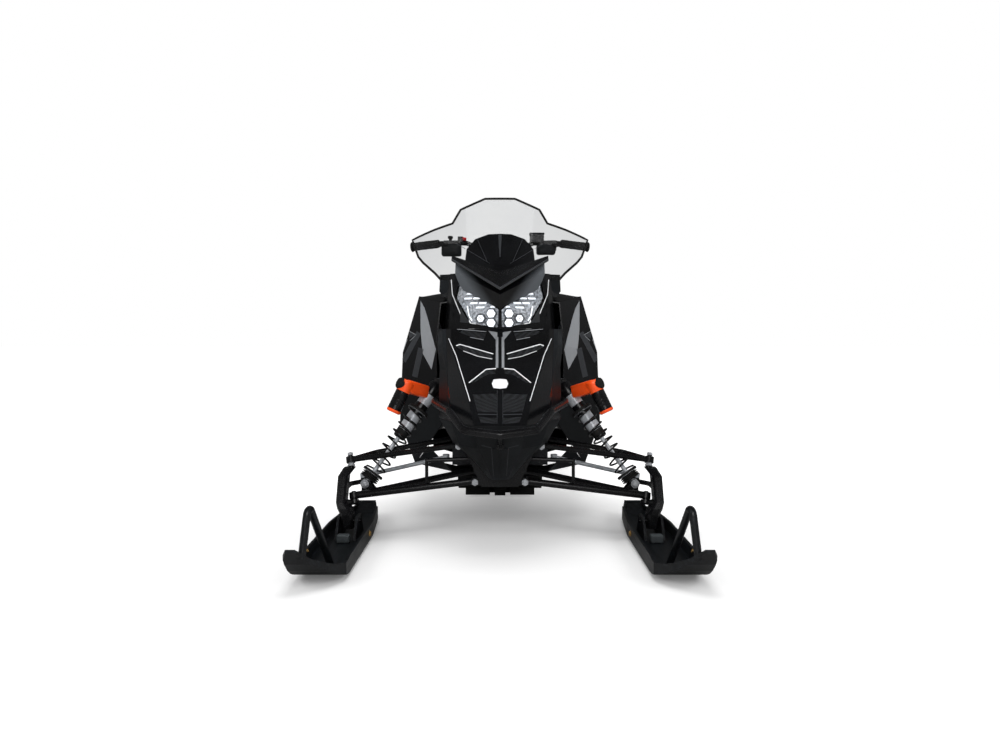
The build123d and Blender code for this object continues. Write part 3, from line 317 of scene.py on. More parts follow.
# %% Cast engine block
cast_alloy, look = finish_named("sand_cast_alloy", Metallic=1.0)
tinted(look, grain(look, size_mm=2.5, height_mm=0.5, detail=5), "#3A3B3D", "#66686B")
roughened(look, clouds(look, size_mm=30), 0.45, 0.7)

# %% [markdown]
# ## Skis, rubber and vinyl
# Skis are moulded from a tough waxy polyethylene: a cold slate black with long pale scuffs that run
# the way the ski slides. The track and the flap are rubber, which takes light softly and greys on
# its high spots. The seat is vinyl pressed with a leather grain.

# %% Polyethylene skis
ski_polyethylene, look = finish_named("ski_polyethylene", IOR=1.52, Specular_IOR_Level=0.5)
scuffs = streaks(look, (1, 0.05, 0.6), scale=190, detail=7)
tinted(look, scuffs, "#090B0D", "#1E2227", 0.5, 0.82)
roughened(look, scuffs, 0.24, 0.5)
grain(look, size_mm=4, height_mm=0.15)

# %% Moulded rubber
def rubber(name, dark, light):
    """Moulded rubber with a fine open grain."""
    made, look = finish_named(name, IOR=1.52, Specular_IOR_Level=0.3)
    tinted(look, grain(look, size_mm=1.8, height_mm=0.4, detail=5), dark, light)
    roughened(look, clouds(look, size_mm=50), 0.55, 0.8)
    return made


moulded_rubber = rubber("moulded_rubber", "#0C0C0C", "#1C1C1B")
stop_rubber = rubber("grey_stop_rubber", "#2B2F31", "#3C4143")

# %% Rubber sheet with moulded ribs for the flap
flap_rubber, look = finish_named("ribbed_rubber_sheet", IOR=1.52, Specular_IOR_Level=0.3)
rib_pitch_mm = 24
wave_scale = 2 * pi / 20 / (rib_pitch_mm / 1000)  # the wave node repeats every pi / 10 at scale 1
ribs = add_node(look.tree, "TexWave", {"bands_direction": "X"}, Vector=look.place, Scale=wave_scale)
bumped(look, ribs.outputs["Fac"], height_mm=3, strength=0.7)
tinted(look, clouds(look, size_mm=70), "#0D0D0D", "#1A1A1A")
roughened(look, clouds(look, size_mm=20), 0.5, 0.72)

# %% Grained vinyl
seat_vinyl, look = finish_named(
    "grained_vinyl", IOR=1.5, Specular_IOR_Level=0.4, Sheen_Weight=0.12, Sheen_Roughness=0.5
)
leather_cell_mm = 2.2
cells = add_node(look.tree, "TexVoronoi", Vector=look.place, Scale=1000 / leather_cell_mm)
cells = cells.outputs["Distance"]
bumped(look, cells, height_mm=0.6, strength=0.5)
tinted(look, clouds(look, size_mm=120), "#111112", "#1C1C1E")
roughened(look, cells, 0.42, 0.6)

# %% [markdown]
# ## Clear plastics
# The windshield is bent polycarbonate with a light smoke tint, and the head lamps have the same
# plastic without the tint. Light is bent a little at each face, so the sheet shows its edges. The
# tint is a little stronger in streaks too faint to name, as heat-bent sheet has.

# %% Smoked and clear polycarbonate
smoked_sheet, look = finish_named(
    "smoked_polycarbonate", IOR=1.3, Transmission_Weight=1.0, Specular_IOR_Level=0.5
)
haze = clouds(look, size_mm=260)
tinted(look, haze, "#DADBDC", "#DFE0E0")
roughened(look, haze, 0.0, 0.03)

lamp_lens, look = finish_named(
    "clear_polycarbonate_lens", IOR=1.2, Transmission_Weight=1.0, Specular_IOR_Level=0.5
)
tinted(look, clouds(look, size_mm=60), "#F4F7FA", "#FFFFFF")
roughened(look, clouds(look, size_mm=30), 0.0, 0.02)

tail_lens, look = finish_named(
    "red_tail_lens", IOR=1.49, Transmission_Weight=0.35, Coat_Weight=0.5
)
prism_mm = 8
prisms = checks(look, look.place, prism_mm)
bumped(look, prisms, height_mm=1.2, strength=0.6)
tinted(look, prisms, "#5E0508", "#8C0A0E", 0.2, 0.8)
roughened(look, clouds(look, size_mm=20), 0.1, 0.2)

# %% [markdown]
# ## Small finishes
# A few finishes serve the trim: bright orange anodised alloy on the shock reservoirs, silver and
# pale paint on the body's graphic shapes, where silver and white also make painted highlights and
# reflections, a woven black mesh behind the vents, zinc on the bolts, brass on the ski bolts, a red
# switch, and the light-emitting chips of the lamps.

# %% Orange anodised alloy
orange_anodised, look = finish_named("orange_anodised_alloy", Metallic=0.1, Coat_Weight=0.2)
tinted(look, grain(look, size_mm=1.5, height_mm=0.06), "#F2480F", "#FF5C1C")
roughened(look, clouds(look, size_mm=25), 0.28, 0.42)

# %% Silver, grey and white graphic film, silver and white also as painted highlights and reflections
def graphic_film(name, dark, light, metallic=0.0):
    """Printed film under the clear coat, with a fine fleck; silver and white also serve as painted
    highlights and reflections.
    """
    made, look = finish_named(name, Metallic=metallic, Coat_Weight=0.5, Coat_Roughness=0.1)
    fleck = grain(look, size_mm=0.9, height_mm=0.02)
    tinted(look, fleck, dark, light)
    roughened(look, clouds(look, size_mm=60), 0.25, 0.38)
    return made


# Silver film also makes the painted reflection and glints on the side panels.
silver_film_and_painted_light = graphic_film("silver_film_and_painted_light", "#84878B", "#A2A5A9", 0.3)
grey_film = graphic_film("grey_film", "#2C2E31", "#3B3D41", 0.3)
# White film also makes the painted highlights along the hood's lips and side folds.
white_film_and_painted_highlight = graphic_film("white_film_and_painted_highlight", "#D3D5D8", "#E9EAEC")
satin_grey = graphic_film("satin_grey_paint", "#1E2022", "#2A2C2F")

# %% Brow paint, black along the middle and faded to grey at both ends, along a slant
fade_slant, fade_start, fade_width = -0.667, 0.55, 0.05
brow_paint, look = finish_named("faded_brow_paint", IOR=1.5, Specular_IOR_Level=0.4)
spot = add_node(look.tree, "SeparateXYZ", Vector=look.place)
outward = reckoned(look.tree, "ABSOLUTE", spot.outputs["X"])
rise = reckoned(look.tree, "MULTIPLY_ADD", spot.outputs["Z"], fade_slant, outward)
fade = reckoned(look.tree, "ADD", rise, fade_start)
tinted(look, fade, "#060607", "#505458", 0.0, fade_width)
roughened(look, grain(look, size_mm=2, height_mm=0.05), 0.26, 0.38)

# %% Woven vent mesh, with one wire every 3 mm
wire_pitch_mm = 3
vent_mesh, look = finish_named("woven_vent_mesh", IOR=1.5, Specular_IOR_Level=0.45)
weave = add_node(look.tree, "Mapping", Vector=look.place, Rotation=(0, radians(45), 0)).outputs[0]
wires = checks(look, weave, wire_pitch_mm)
bumped(look, wires, height_mm=1, strength=1.0)
tinted(look, wires, "#030303", "#2E3033", 0.4, 0.6)
roughened(look, wires, 0.6, 0.35)

# %% Zinc, brass and a red switch
zinc_plate = aluminium("zinc_plated_steel", "#9A9CA0", "#C9CCD0", (1, 1, 1))
brass_bolt = aluminium("brass_plated_steel", "#7C6236", "#B8955A", (1, 1, 1))
red_switch, look = finish_named("red_switch_cap", IOR=1.5, Coat_Weight=0.3)
tinted(look, grain(look, size_mm=1.2, height_mm=0.05), "#9E1218", "#C21B21")
roughened(look, clouds(look, size_mm=12), 0.3, 0.42)

# %% Lamp chips, lit, and the dark chrome bowl behind them, with a faint painted glow
lit_chip, look = finish_named(
    "lit_lamp_chip", Emission_Color=linear("#F6FAFF"), Emission_Strength=1.0
)
chip = grain(look, size_mm=4, height_mm=0.3)
tinted(look, chip, "#E8EEF5", "#FFFFFF")
roughened(look, chip, 0.15, 0.3)
# The bowl's faint emission is a painted glow that stands in for the chips' light on it.
lamp_bowl, look = finish_named(
    "smoked_chrome_bowl_with_painted_glow", Metallic=0.4, Emission_Color=linear("#E6EAEE"), Emission_Strength=0.02
)
tinted(look, grain(look, size_mm=7, height_mm=0.6), "#2E3135", "#85898F")
roughened(look, clouds(look, size_mm=20), 0.15, 0.3)

# %% [markdown]
# ## Dressing the solid pieces
# Most pieces of the solid model already have the right shape, so they only need their finish. A
# table says which finish each piece wears, and a loop puts it on.


# %% Put a finish on every solid piece
dressing = [
    (coated_abs, [
        "hood", "lamp_fairing", "visor", "side_panel_left", "side_panel_right", "shield_base",
    ]),
    (grained_pp, [
        "belly_pan", "console", "foot_panel_left", "foot_panel_right", "nose_pan", "seat_base",
        "shield_mounts", "rear_wheels",
    ]),
    (brow_paint, ["lamp_brow"]),
    (powder_coat, [
        "drive_axle", "front_bumper", "front_frame", "handlebar", "lower_arms", "rear_arms",
        "rear_bumper", "spindle_left", "spindle_right", "steering_hoop", "sway_bar", "upper_arms",
    ]),
    (spring_enamel, ["front_springs"]),
    (drawn_aluminium, ["tie_rod_left", "tie_rod_right"]),
    (turned_aluminium, ["front_shocks", "rear_shock"]),
    (tunnel_paint, ["tunnel", "slide_rails"]),
    (cast_alloy, ["engine"]),
    (ski_polyethylene, ["ski_left", "ski_right"]),
    (moulded_rubber, ["track"]),
    (flap_rubber, ["snow_flap"]),
    (seat_vinyl, ["seat"]),
    (smoked_sheet, ["windshield"]),
    (lamp_lens, ["head_lamps"]),
    (tail_lens, ["tail_lamp"]),
]
for finish, wearers in dressing:
    for wearer in wearers:
        mesh = nodes[wearer].data
        mesh.materials.clear()
        mesh.materials.append(finish)
print("dressed", sum(len(wearers) for _, wearers in dressing), "of", len(nodes), "solid pieces")

# %% [markdown]
# ## Three ways to add a piece
# Every added piece is one of three kinds. A **turned** piece, such as a cap or a grip, is a profile
# spun round an axis. A **patch**, such as a graphic shape or a vent screen, is cut from a copy of
# the panel's own skin, so it follows every fold. A **block**, such as a switch housing, is a box
# with rounded edges. Each returns a bmesh, and one function turns it into an object that rides on
# a body of the model.


# %% From bmesh to a piece that rides on a body
sharp_from = radians(32)  # folds steeper than this stay sharp


def add_piece(name, bm, finish, body="chassis"):
    """Makes a bmesh into a piece with one finish, shaded smooth up to its sharp edges."""
    bmesh.ops.recalc_face_normals(bm, faces=bm.faces[:])
    mesh = bpy.data.meshes.new(name)
    bm.to_mesh(mesh)
    bm.free()
    mesh.shade_smooth()
    mesh.set_sharp_from_angle(angle=sharp_from)
    mesh.materials.append(finish)
    piece = placed(name, mesh)
    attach(piece, body)


def merged(shapes):
    """One bmesh from several, which are freed."""
    whole = bmesh.new()
    for bm in shapes:
        part = bpy.data.meshes.new("part")
        bm.to_mesh(part)
        bm.free()
        whole.from_mesh(part)
        bpy.data.meshes.remove(part)
    return whole


def turned(profile, start, toward, steps=28, closed=False):
    """A profile spun round the line from start toward a point; its columns: distance along, radius."""
    bm = bmesh.new()
    rim = [bm.verts.new((radius, 0, along)) for along, radius in profile]
    pairs = list(zip(rim, rim[1:])) + ([(rim[-1], rim[0])] if closed else [])
    for a, b in pairs:
        bm.edges.new((a, b))
    bmesh.ops.spin(
        bm,
        geom=bm.verts[:] + bm.edges[:],
        axis=(0, 0, 1),
        cent=(0, 0, 0),
        angle=2 * pi,
        steps=steps,
        use_merge=True,
    )
    bmesh.ops.remove_doubles(bm, verts=bm.verts[:], dist=1e-6)
    turn = (Vector(toward) - Vector(start)).to_track_quat("Z", "X").to_matrix().to_4x4()
    bmesh.ops.transform(bm, matrix=Matrix.Translation(start) @ turn, verts=bm.verts[:])
    return bm


def block(middle, size, bevel=0.003):
    """A box with rounded edges."""
    bm = bmesh.new()
    bmesh.ops.create_cube(bm, size=1)
    bmesh.ops.scale(bm, vec=size, verts=bm.verts[:])
    bmesh.ops.bevel(
        bm, geom=bm.edges[:], offset=bevel, segments=3, affect="EDGES", profile=0.5, material=-1
    )
    bmesh.ops.transform(bm, matrix=Matrix.Translation(middle), verts=bm.verts[:])
    return bm


def flipped(points):
    """The same points on the other side of the machine."""
    return [(-point[0], *point[1:]) for point in points]


# %% Patches cut from a panel's own skin
edge_on = -0.03  # a face whose normal has more Y than this is too far round to be seen from the front


def welded(node):
    """A bmesh of a node, with corners in one place joined into one."""
    bm = bmesh.new()
    bm.from_mesh(nodes[node].data)
    bmesh.ops.remove_doubles(bm, verts=bm.verts[:], dist=1e-5)
    bm.normal_update()
    return bm


def front_skin(node):
    """A bmesh of the faces of a node that can be seen from the front."""
    bm = welded(node)
    hidden = [face for face in bm.faces if face.normal.y > edge_on]
    bmesh.ops.delete(bm, geom=hidden, context="FACES")
    return bm


def cut_to(bm, outline):
    """Keeps what lies inside a convex outline, seen from the front as (x, z)."""
    middle = Vector((sum(p[0] for p in outline), sum(p[1] for p in outline))) / len(outline)
    for (ax, az), (bx, bz) in zip(outline, outline[1:] + outline[:1]):
        normal = Vector((bz - az, 0, ax - bx))
        if normal.dot(Vector((middle.x - ax, 0, middle.y - az))) > 0:
            normal.negate()
        bmesh.ops.bisect_plane(
            bm,
            geom=bm.verts[:] + bm.edges[:] + bm.faces[:],
            plane_co=(ax, 0, az),
            plane_no=normal,
            clear_outer=True,
        )


def plate_over(node, outline, proud, thick):
    """A thin plate over a node's front skin inside one outline."""
    bm = front_skin(node)
    cut_to(bm, outline)
    bm.normal_update()
    for vert in bm.verts:
        vert.co += vert.normal * proud
    bmesh.ops.solidify(bm, geom=bm.faces[:], thickness=thick)
    return bm


def patch(node, outlines, proud=0.0004, thick=0.0003):
    """Thin plates over a node's front skin, inside each outline and its mirror image."""
    both_ways = [way for outline in outlines for way in (outline, flipped(outline))]
    return merged(plate_over(node, way, proud, thick) for way in both_ways)


def trim(name, node, outlines, finish):
    """Adds a thin plate over a node's front skin as a piece."""
    add_piece(name, patch(node, outlines), finish)


def stripe(line, width):
    """Convex outlines, one for each run of a line of (x, z) points, that make a stripe of a width."""
    outlines = []
    for a, b in zip(line, line[1:]):
        ahead = (Vector(b) - Vector(a)).normalized()
        side = Vector((-ahead.y, ahead.x)) * width / 2
        outlines.append([tuple(Vector(p) + side * s) for p, s in ((a, 1), (b, 1), (b, -1), (a, -1))])
    return outlines


# %% [markdown]
# ## Head lamps
# Behind each clear lens sits a smoked chrome bowl with rows of light bars and a honeycomb of
# projector lenses inside dark rings. All of them are patches of the lens's own skin, moved
# inwards: the bowl lies deepest and the lit shapes float before it, inside the lens.

# %% Bowl, light bars and honeycomb projectors
bowl_depth, chip_depth, ring_depth = 0.0115, 0.007, 0.0065  # behind the lens's face
lens_outline = [
    (0.009, 0.838), (0.157, 0.943), (0.169, 0.885), (0.121, 0.803), (0.113, 0.789), (0.014, 0.772),
]


def in_lamp(name, outlines, depth, finish):
    """A layer of flat shapes inside both head lamps."""
    add_piece(name, patch("head_lamps", outlines, proud=-depth, thick=0.001), finish)


in_lamp("lamp_bowls", [lens_outline], bowl_depth, lamp_bowl)


def hexagon(x, z, radius):
    """A hexagon of (x, z) points that stands on a flat side."""
    return [(x + radius * cos(k * pi / 3), z + radius * sin(k * pi / 3)) for k in range(6)]


def light_bar(x_from, x_to, z, height):
    """A light bar's outline with slanted ends."""
    lean = height * 0.6
    return [(x_from, z), (x_to, z), (x_to - lean, z + height), (x_from - lean, z + height)]


# columns: from x, to x, z
bar_rows = [
    (0.130, 0.098, 0.897), (0.139, 0.111, 0.879), (0.105, 0.080, 0.879), (0.116, 0.089, 0.861),
    (0.083, 0.055, 0.861), (0.094, 0.063, 0.843), (0.041, 0.017, 0.845),
]
lit = [light_bar(*row, height=0.006) for row in bar_rows]
lit += [hexagon(0.125, 0.920, 0.009), hexagon(0.0365, 0.823, 0.0165), hexagon(0.0365, 0.788, 0.0165)]
lit += stripe([(0.126, 0.852), (0.119, 0.815), (0.108, 0.797)], 0.004)
lit += [hexagon(0.076, 0.805, 0.0135)]
in_lamp("lamp_chips", lit, chip_depth, lit_chip)
ring_radius, ring_width = 0.0195, 0.0024
rings = []
for x, z in ((0.076, 0.805), (0.0365, 0.823), (0.0365, 0.788)):
    corners = hexagon(x, z, ring_radius)
    rings += stripe(corners + corners[:1], ring_width)
rings += stripe([(0.070, 0.799), (0.082, 0.811)], ring_width)
in_lamp("lamp_rings", rings, ring_depth, grained_pp)
fairing_panel = [(0.10, 0.786), (0.150, 0.79), (0.152, 0.975), (0.10, 0.975)]
trim("lamp_surround", "lamp_fairing", [fairing_panel], satin_grey)
side_lights = stripe([(0.188, 0.955), (0.182, 0.897), (0.150, 0.822)], 0.003)
trim("lamp_side_lights", "lamp_fairing", side_lights, white_film_and_painted_highlight)

# %% [markdown]
# ## Hood trim
# The hood's vents are shallow recesses in the panel. Each gets a woven screen on its floor, and the
# middle ones a painted highlight along their upper lip. The spine gets its two bright strips, and
# the long folds at the hood's sides carry a thin painted highlight.

# %% Screens in the recesses
recesses = [
    [(0.152, 0.7505), (0.141, 0.7585), (0.049, 0.749), (0.0585, 0.729), (0.110, 0.738)],
    [(0.159, 0.699), (0.146, 0.704), (0.134, 0.686)],
    [(0.146, 0.704), (0.025, 0.6715), (0.029, 0.659), (0.079, 0.668), (0.134, 0.686)],
    [(0.104, 0.5765), (0.049, 0.618), (0.045, 0.604), (0.090, 0.579)],
    [(0.049, 0.618), (0.0145, 0.621), (0.0165, 0.609), (0.045, 0.604)],
    [(0.093, 0.541), (0.011, 0.545), (0.011, 0.485), (0.076, 0.487)],
    [(0.072, 0.472), (0.011, 0.469), (0.011, 0.451), (0.063, 0.453)],
]
add_piece("hood_screens", patch("hood", recesses, proud=0.0005, thick=0.0004), vent_mesh)

# %% Flanks left in bare grained plastic
flank = [(0.176, 0.47), (0.26, 0.47), (0.26, 0.80), (0.206, 0.80)]
trim("hood_flanks", "hood", [flank], grained_pp)

# %% Painted highlights, spine strips and the badge plate
# Pale lines along the middle recesses' upper lips and down the side fold are painted highlights.
edges = stripe([(0.160, 0.703), (0.146, 0.708), (0.024, 0.675)], 0.003)
edges += stripe([(0.107, 0.578), (0.049, 0.6225), (0.014, 0.6255)], 0.003)
edges += stripe([(0.133, 0.685), (0.079, 0.6665), (0.028, 0.6575)], 0.0018)
edges += stripe([(0.190, 0.729), (0.158, 0.668), (0.101, 0.52)], 0.0025)
trim("hood_painted_highlights", "hood", edges, white_film_and_painted_highlight)
spine = stripe([(0.0105, 0.735), (0.0105, 0.628)], 0.009)
spine += [[(0.042, 0.757), (0.010, 0.752), (0.010, 0.719)]]
hints = stripe([(0.160, 0.764), (0.050, 0.7545)], 0.002)
hints += stripe([(0.110, 0.734), (0.060, 0.725)], 0.002)
trim("vent_hints", "hood", hints, silver_film_and_painted_light)
ribs = stripe([(0.0095, 0.556), (0.0095, 0.452)], 0.002)
ribs += stripe([(0.011, 0.4795), (0.074, 0.4795)], 0.003)
trim("hood_ribs", "hood", ribs, grey_film)
trim("hood_spine", "hood", spine, silver_film_and_painted_light)
plate = [(0.028, 0.575), (0.022, 0.589), (0, 0.591), (0, 0.560), (0.022, 0.562)]
add_piece("badge_plate", patch("hood", [plate], proud=0.0012, thick=0.001), white_film_and_painted_highlight)

# %% [markdown]
# ## Side panel graphics
# A tall silver sliver on each folded side panel is a painted reflection of a narrow facet, and
# shapes of grey film run down and back beside it, with fine painted glints. They are patches of
# the panels' skin, so they turn with each fold.

# %% Painted reflections, grey slivers and painted glints
for side in ("left", "right"):
    panel = f"side_panel_{side}"
    # The silver sliver is a painted reflection on a narrow facet of the panel.
    silver = [
        (0.318, 0.879), (0.300, 0.850), (0.2845, 0.806), (0.250, 0.686),
        (0.268, 0.607), (0.304, 0.668), (0.315, 0.759),
    ]
    trim(f"painted_reflection_sliver_{side}", panel, [silver], silver_film_and_painted_light)
    grey = stripe([(0.322, 0.752), (0.388, 0.636)], 0.022)
    grey += stripe([(0.312, 0.690), (0.340, 0.575)], 0.024)
    grey += [[(0.338, 0.742), (0.364, 0.728), (0.366, 0.752)]]
    trim(f"grey_sliver_{side}", panel, grey, grey_film)
    # Fine silver lines beside the facets are painted glints.
    glints = stripe([(0.391, 0.678), (0.373, 0.724)], 0.003)
    glints += stripe([(0.367, 0.758), (0.334, 0.742), (0.361, 0.719)], 0.0022)
    trim(f"painted_glint_{side}", panel, glints, silver_film_and_painted_light)

# %% [markdown]
# ## Windshield trim
# The clear sheet is bent round the rider on one radius and leans back. A function gives any point
# of its front face, and a rubber bead follows its edge. Grey crease lines fan out over the dark
# base and on to the clear sheet.


# %% Rods and beads
def tube(name, points, radius, finish, body="chassis"):
    """A round rod or bead that runs straight from point to point."""
    curve = bpy.data.curves.new(name, "CURVE")
    curve.dimensions = "3D"
    curve.bevel_depth = radius
    curve.bevel_resolution = 3
    curve.use_fill_caps = True
    spline = curve.splines.new("POLY")
    spline.points.add(len(points) - 1)
    for knot, point in zip(spline.points, points):
        knot.co = (*point, 1)
    curve.materials.append(finish)
    piece = placed(name, curve)
    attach(piece, body)


def walked(line, steps):
    """A line of points divided evenly between its corners."""
    runs = [(Vector(a), Vector(b)) for a, b in zip(line, line[1:])]
    return [tuple(a.lerp(b, k / steps)) for a, b in runs for k in range(steps)] + [line[-1]]


# %% Edge bead and crease lines
shield_bend, shield_lean = 0.464, 0.66  # the sheet's radius, and how far back it goes for each metre up
shield_base_y, shield_base_z = -0.731, 0.9  # where the middle line of its front face starts
shield_half = 0.002  # half its thickness


def on_shield(x, z):
    """The point at x and z in the middle of the clear sheet."""
    bend = shield_bend - shield_half
    back = shield_base_y + shield_half + shield_lean * (z - shield_base_z)
    return (x, back + bend - sqrt(bend**2 - x**2), z)


shield_edge = [
    (0.236, 0.962), (0.262, 0.99), (0.316, 1.038), (0.34, 1.066), (0.374, 1.146), (0.272, 1.18),
    (0.196, 1.202), (0.164, 1.262), (0.062, 1.308),
]
bead_line = walked(shield_edge + flipped(shield_edge)[::-1], 8)
tube("shield_bead", [on_shield(x, z) for x, z in bead_line], 0.005, moulded_rubber)
base_creases = stripe([(0.137, 1.086), (0.041, 1.024)], 0.002)
base_creases += stripe([(0.091, 1.126), (0.050, 1.03)], 0.002)
trim("base_creases", "shield_base", base_creases, grey_film)
base_spine = [(0.007, 1.144), (0, 1.146), (0, 1.05), (0.002, 1.05)]
trim("base_spine", "shield_base", [base_spine], grey_film)
clear_creases = stripe([(0.176, 1.111), (0.140, 1.088)], 0.002)
trim("clear_creases", "windshield", clear_creases, grey_film)

# %% The visor's rim
visor_rim = [(0, 0.9005), (0, 0.9115), (0.186, 1.0375), (0.186, 1.0305)]
trim("visor_rim", "visor", [visor_rim], grey_film)

# %% [markdown]
# ## Handlebar controls
# Ribbed rubber grips end in a flange that keeps the glove on. Inboard of them sit the switch
# housings, the choke knob, the brake fluid reservoir's lid, and the red stop button.

# %% Grips
for side, way in (("left", 1), ("right", -1)):
    ribs = [(0.0, 0.0175)]
    for k in range(17):
        ribs += [(0.004 + 0.007 * k, 0.0178), (0.0055 + 0.007 * k, 0.0192), (0.0095 + 0.007 * k, 0.0192)]
    flange = [(0.124, 0.0178), (0.126, 0.0225), (0.131, 0.0225), (0.134, 0.018), (0.134, 0)]
    profile = [(0.0, 0.0)] + ribs + flange
    grip = turned(profile, (way * 0.279, -0.118, 1.1588), (way * 0.405, -0.096, 1.146), steps=32)
    add_piece(f"grip_{side}", grip, moulded_rubber, "handlebar")

# %% Switch housings, choke knob, reservoir lid and stop button
housing_bevel = 0.009
right_housing = block((-0.222, -0.133, 1.128), (0.09, 0.052, 0.056), housing_bevel)
add_piece("switch_housing_right", right_housing, grained_pp, "handlebar")
left_housing = block((0.21, -0.133, 1.130), (0.086, 0.052, 0.046), housing_bevel)
add_piece("switch_housing_left", left_housing, grained_pp, "handlebar")
knob = turned(
    [(0, 0), (0, 0.007), (0.013, 0.007), (0.014, 0.0115), (0.022, 0.0125), (0.026, 0.009), (0.026, 0)],
    (-0.227, -0.133, 1.166), (-0.227, -0.133, 1.3),
)
add_piece("choke_knob", knob, moulded_rubber, "handlebar")
lid = block((0.168, -0.140, 1.2), (0.069, 0.047, 0.009))
add_piece("reservoir_lid", lid, grained_pp, "handlebar")
button = turned(
    [(0, 0), (0, 0.0105), (0.004, 0.0105), (0.004, 0.0085), (0.014, 0.0085), (0.018, 0.006), (0.018, 0)],
    (-0.172, -0.134, 1.178), (-0.1, -0.134, 1.172),
)
add_piece("stop_button", button, red_switch, "handlebar")

# %% [markdown]
# ## Front shocks
# Each shock carries black sleeves on its bare body, covers over the spring's two perches, a rubber
# cup over its rod, a stack of rubber rings at its foot, and a boot at its head. Those and the
# reservoir's sleeve and caps are turned about their own lines. The orange bridge between the shock
# and the reservoir that hangs beside it is a block.

# %% Sleeves, covers, cups, rings and boots on the shocks
shock_line = Vector((0.497, -0.893, 0.196)), Vector((0.236, -0.770, 0.560))
round_steps = 36
bottle_line = Vector((0.392, -0.885, 0.464)), Vector((0.344, -0.868, 0.566))


def sleeve(start, end, radius, wall=0.0012, lip=0.0008):
    """The closed profile of a thin sleeve with softened ends."""
    return [
        (start, radius), (start, radius + wall - lip), (start + lip, radius + wall),
        (end - lip, radius + wall), (end, radius + wall - lip), (end, radius),
    ]


def on_both_sides(name, make, finish, body="chassis"):
    """Adds a piece made for the +X side and its mirror image."""
    for side, way in (("left", 1), ("right", -1)):
        bm = make()
        if way < 0:
            bmesh.ops.scale(bm, vec=(-1, 1, 1), verts=bm.verts[:])
        ride_on = body if body == "chassis" else f"{body}_{side}"
        add_piece(f"{name}_{side}", bm, finish, ride_on)


def on_line(name, profile, line, finish, closed=False):
    """Adds a piece turned about a line at the +X side, and its mirror image."""
    on_both_sides(name, lambda: turned(profile, *line, round_steps, closed), finish)


def sleeves(rows, line):
    """Several sleeves on one line; columns: from, to, radius."""
    return merged(turned(sleeve(*row), *line, round_steps, closed=True) for row in rows)


black_bands = [
    (0.2405, 0.2455, 0.025), (0.274, 0.284, 0.025), (0.340, 0.360, 0.025), (0.317, 0.325, 0.025),
]
on_both_sides("shock_bands", lambda: sleeves(black_bands, shock_line), powder_coat)
# columns: from, to, inner radius, which reaches in to the shock's rod or body
perch_covers = [(0.0398, 0.0502, 0.009), (0.3257, 0.3392, 0.0252)]
perch_radius, perch_round = 0.0412, 0.002


def cover(start, end, inner):
    """A black cover over one of the spring's perches, with its rim's corners cut."""
    rim = perch_radius - perch_round
    profile = [
        (start, inner), (start, rim), (start + perch_round, perch_radius),
        (end - perch_round, perch_radius), (end, rim), (end, inner),
    ]
    return turned(profile, *shock_line, round_steps, closed=True)


on_both_sides("perch_covers", lambda: merged(cover(*row) for row in perch_covers), moulded_rubber)
cup = [
    (0.205, 0.0085), (0.205, 0.019), (0.209, 0.0235), (0.232, 0.0248), (0.2395, 0.0248), (0.2395, 0.0085),
]
on_line("shock_cups", cup, shock_line, moulded_rubber, closed=True)
rings = [(0.016, 0.009), (0.016, 0.028)]
for k in range(3):
    rings += [(0.019 + 0.007 * k, 0.036), (0.022 + 0.007 * k, 0.036), (0.0245 + 0.007 * k, 0.027)]
rings += [(0.0395, 0.027), (0.0395, 0.009)]
on_line("shock_bellows", rings, shock_line, moulded_rubber, closed=True)
boot = [(0.404, 0), (0.404, 0.0258), (0.406, 0.0265), (0.450, 0.0265), (0.4600, 0.021), (0.4605, 0)]
on_line("shock_boot", boot, shock_line, powder_coat)

# %% Reservoirs and their orange bridges
bridge_from, bridge_to = Vector((0.2674, -0.7847, 0.5163)), Vector((0.3512, -0.8706, 0.5507))
bridge_turn = (bridge_to - bridge_from).to_track_quat("Z", "Y").to_matrix()


bridge_size, bridge_bevel = (0.047, 0.052, 0.110), 0.009
bridge_end, bridge_taper = 0.046, 0.9  # past the first, from its middle, the block narrows by the second
bridge_share, bridge_lift = 0.607, 0.004  # its middle's place along the line, and how far above it


def bridge():
    """A bevelled orange block round the pipe from the shock to its reservoir, narrower at its ends."""
    bm = block((0, 0, 0), bridge_size, bridge_bevel)
    for vert in bm.verts:
        if abs(vert.co.z) >= bridge_end:
            vert.co.x *= bridge_taper
            vert.co.y *= bridge_taper
    middle = bridge_from.lerp(bridge_to, bridge_share) + Vector((0, 0, bridge_lift))
    place = Matrix.Translation(middle) @ bridge_turn.to_4x4()
    bmesh.ops.transform(bm, matrix=place, verts=bm.verts[:])
    return bm


on_both_sides("shock_bridge", bridge, orange_anodised)
knob_profile = [
    (0, 0), (0, 0.0205), (0.006, 0.0222), (0.022, 0.0222), (0.028, 0.019), (0.031, 0.012), (0.031, 0),
]
knob_foot, knob_aim = bridge_to + Vector((0.002, -0.002, 0.006)), bridge_to + Vector((0.05, -0.03, 0.03))
on_line("bridge_knob", knob_profile, (knob_foot, knob_aim), moulded_rubber)
bottle = [(0.003, 0.0252), (0.004, 0.0262)]
for k in range(3):
    bottle += [(0.020 + 0.012 * k, 0.0262), (0.021 + 0.012 * k, 0.0252), (0.023 + 0.012 * k, 0.0262)]
bottle += [(0.076, 0.0262), (0.077, 0.0252)]
on_line("reservoir_sleeve", bottle, bottle_line, powder_coat, closed=True)
base_cap = [
    (-0.008, 0), (-0.008, 0.021), (-0.006, 0.0255), (-0.002, 0.0272), (0.003, 0.0272), (0.003, 0.0),
]
on_line("reservoir_base", base_cap, bottle_line, orange_anodised)
top_cap = [(0.077, 0), (0.077, 0.0262), (0.079, 0.0272), (0.116, 0.0272), (0.122, 0.021), (0.1225, 0)]
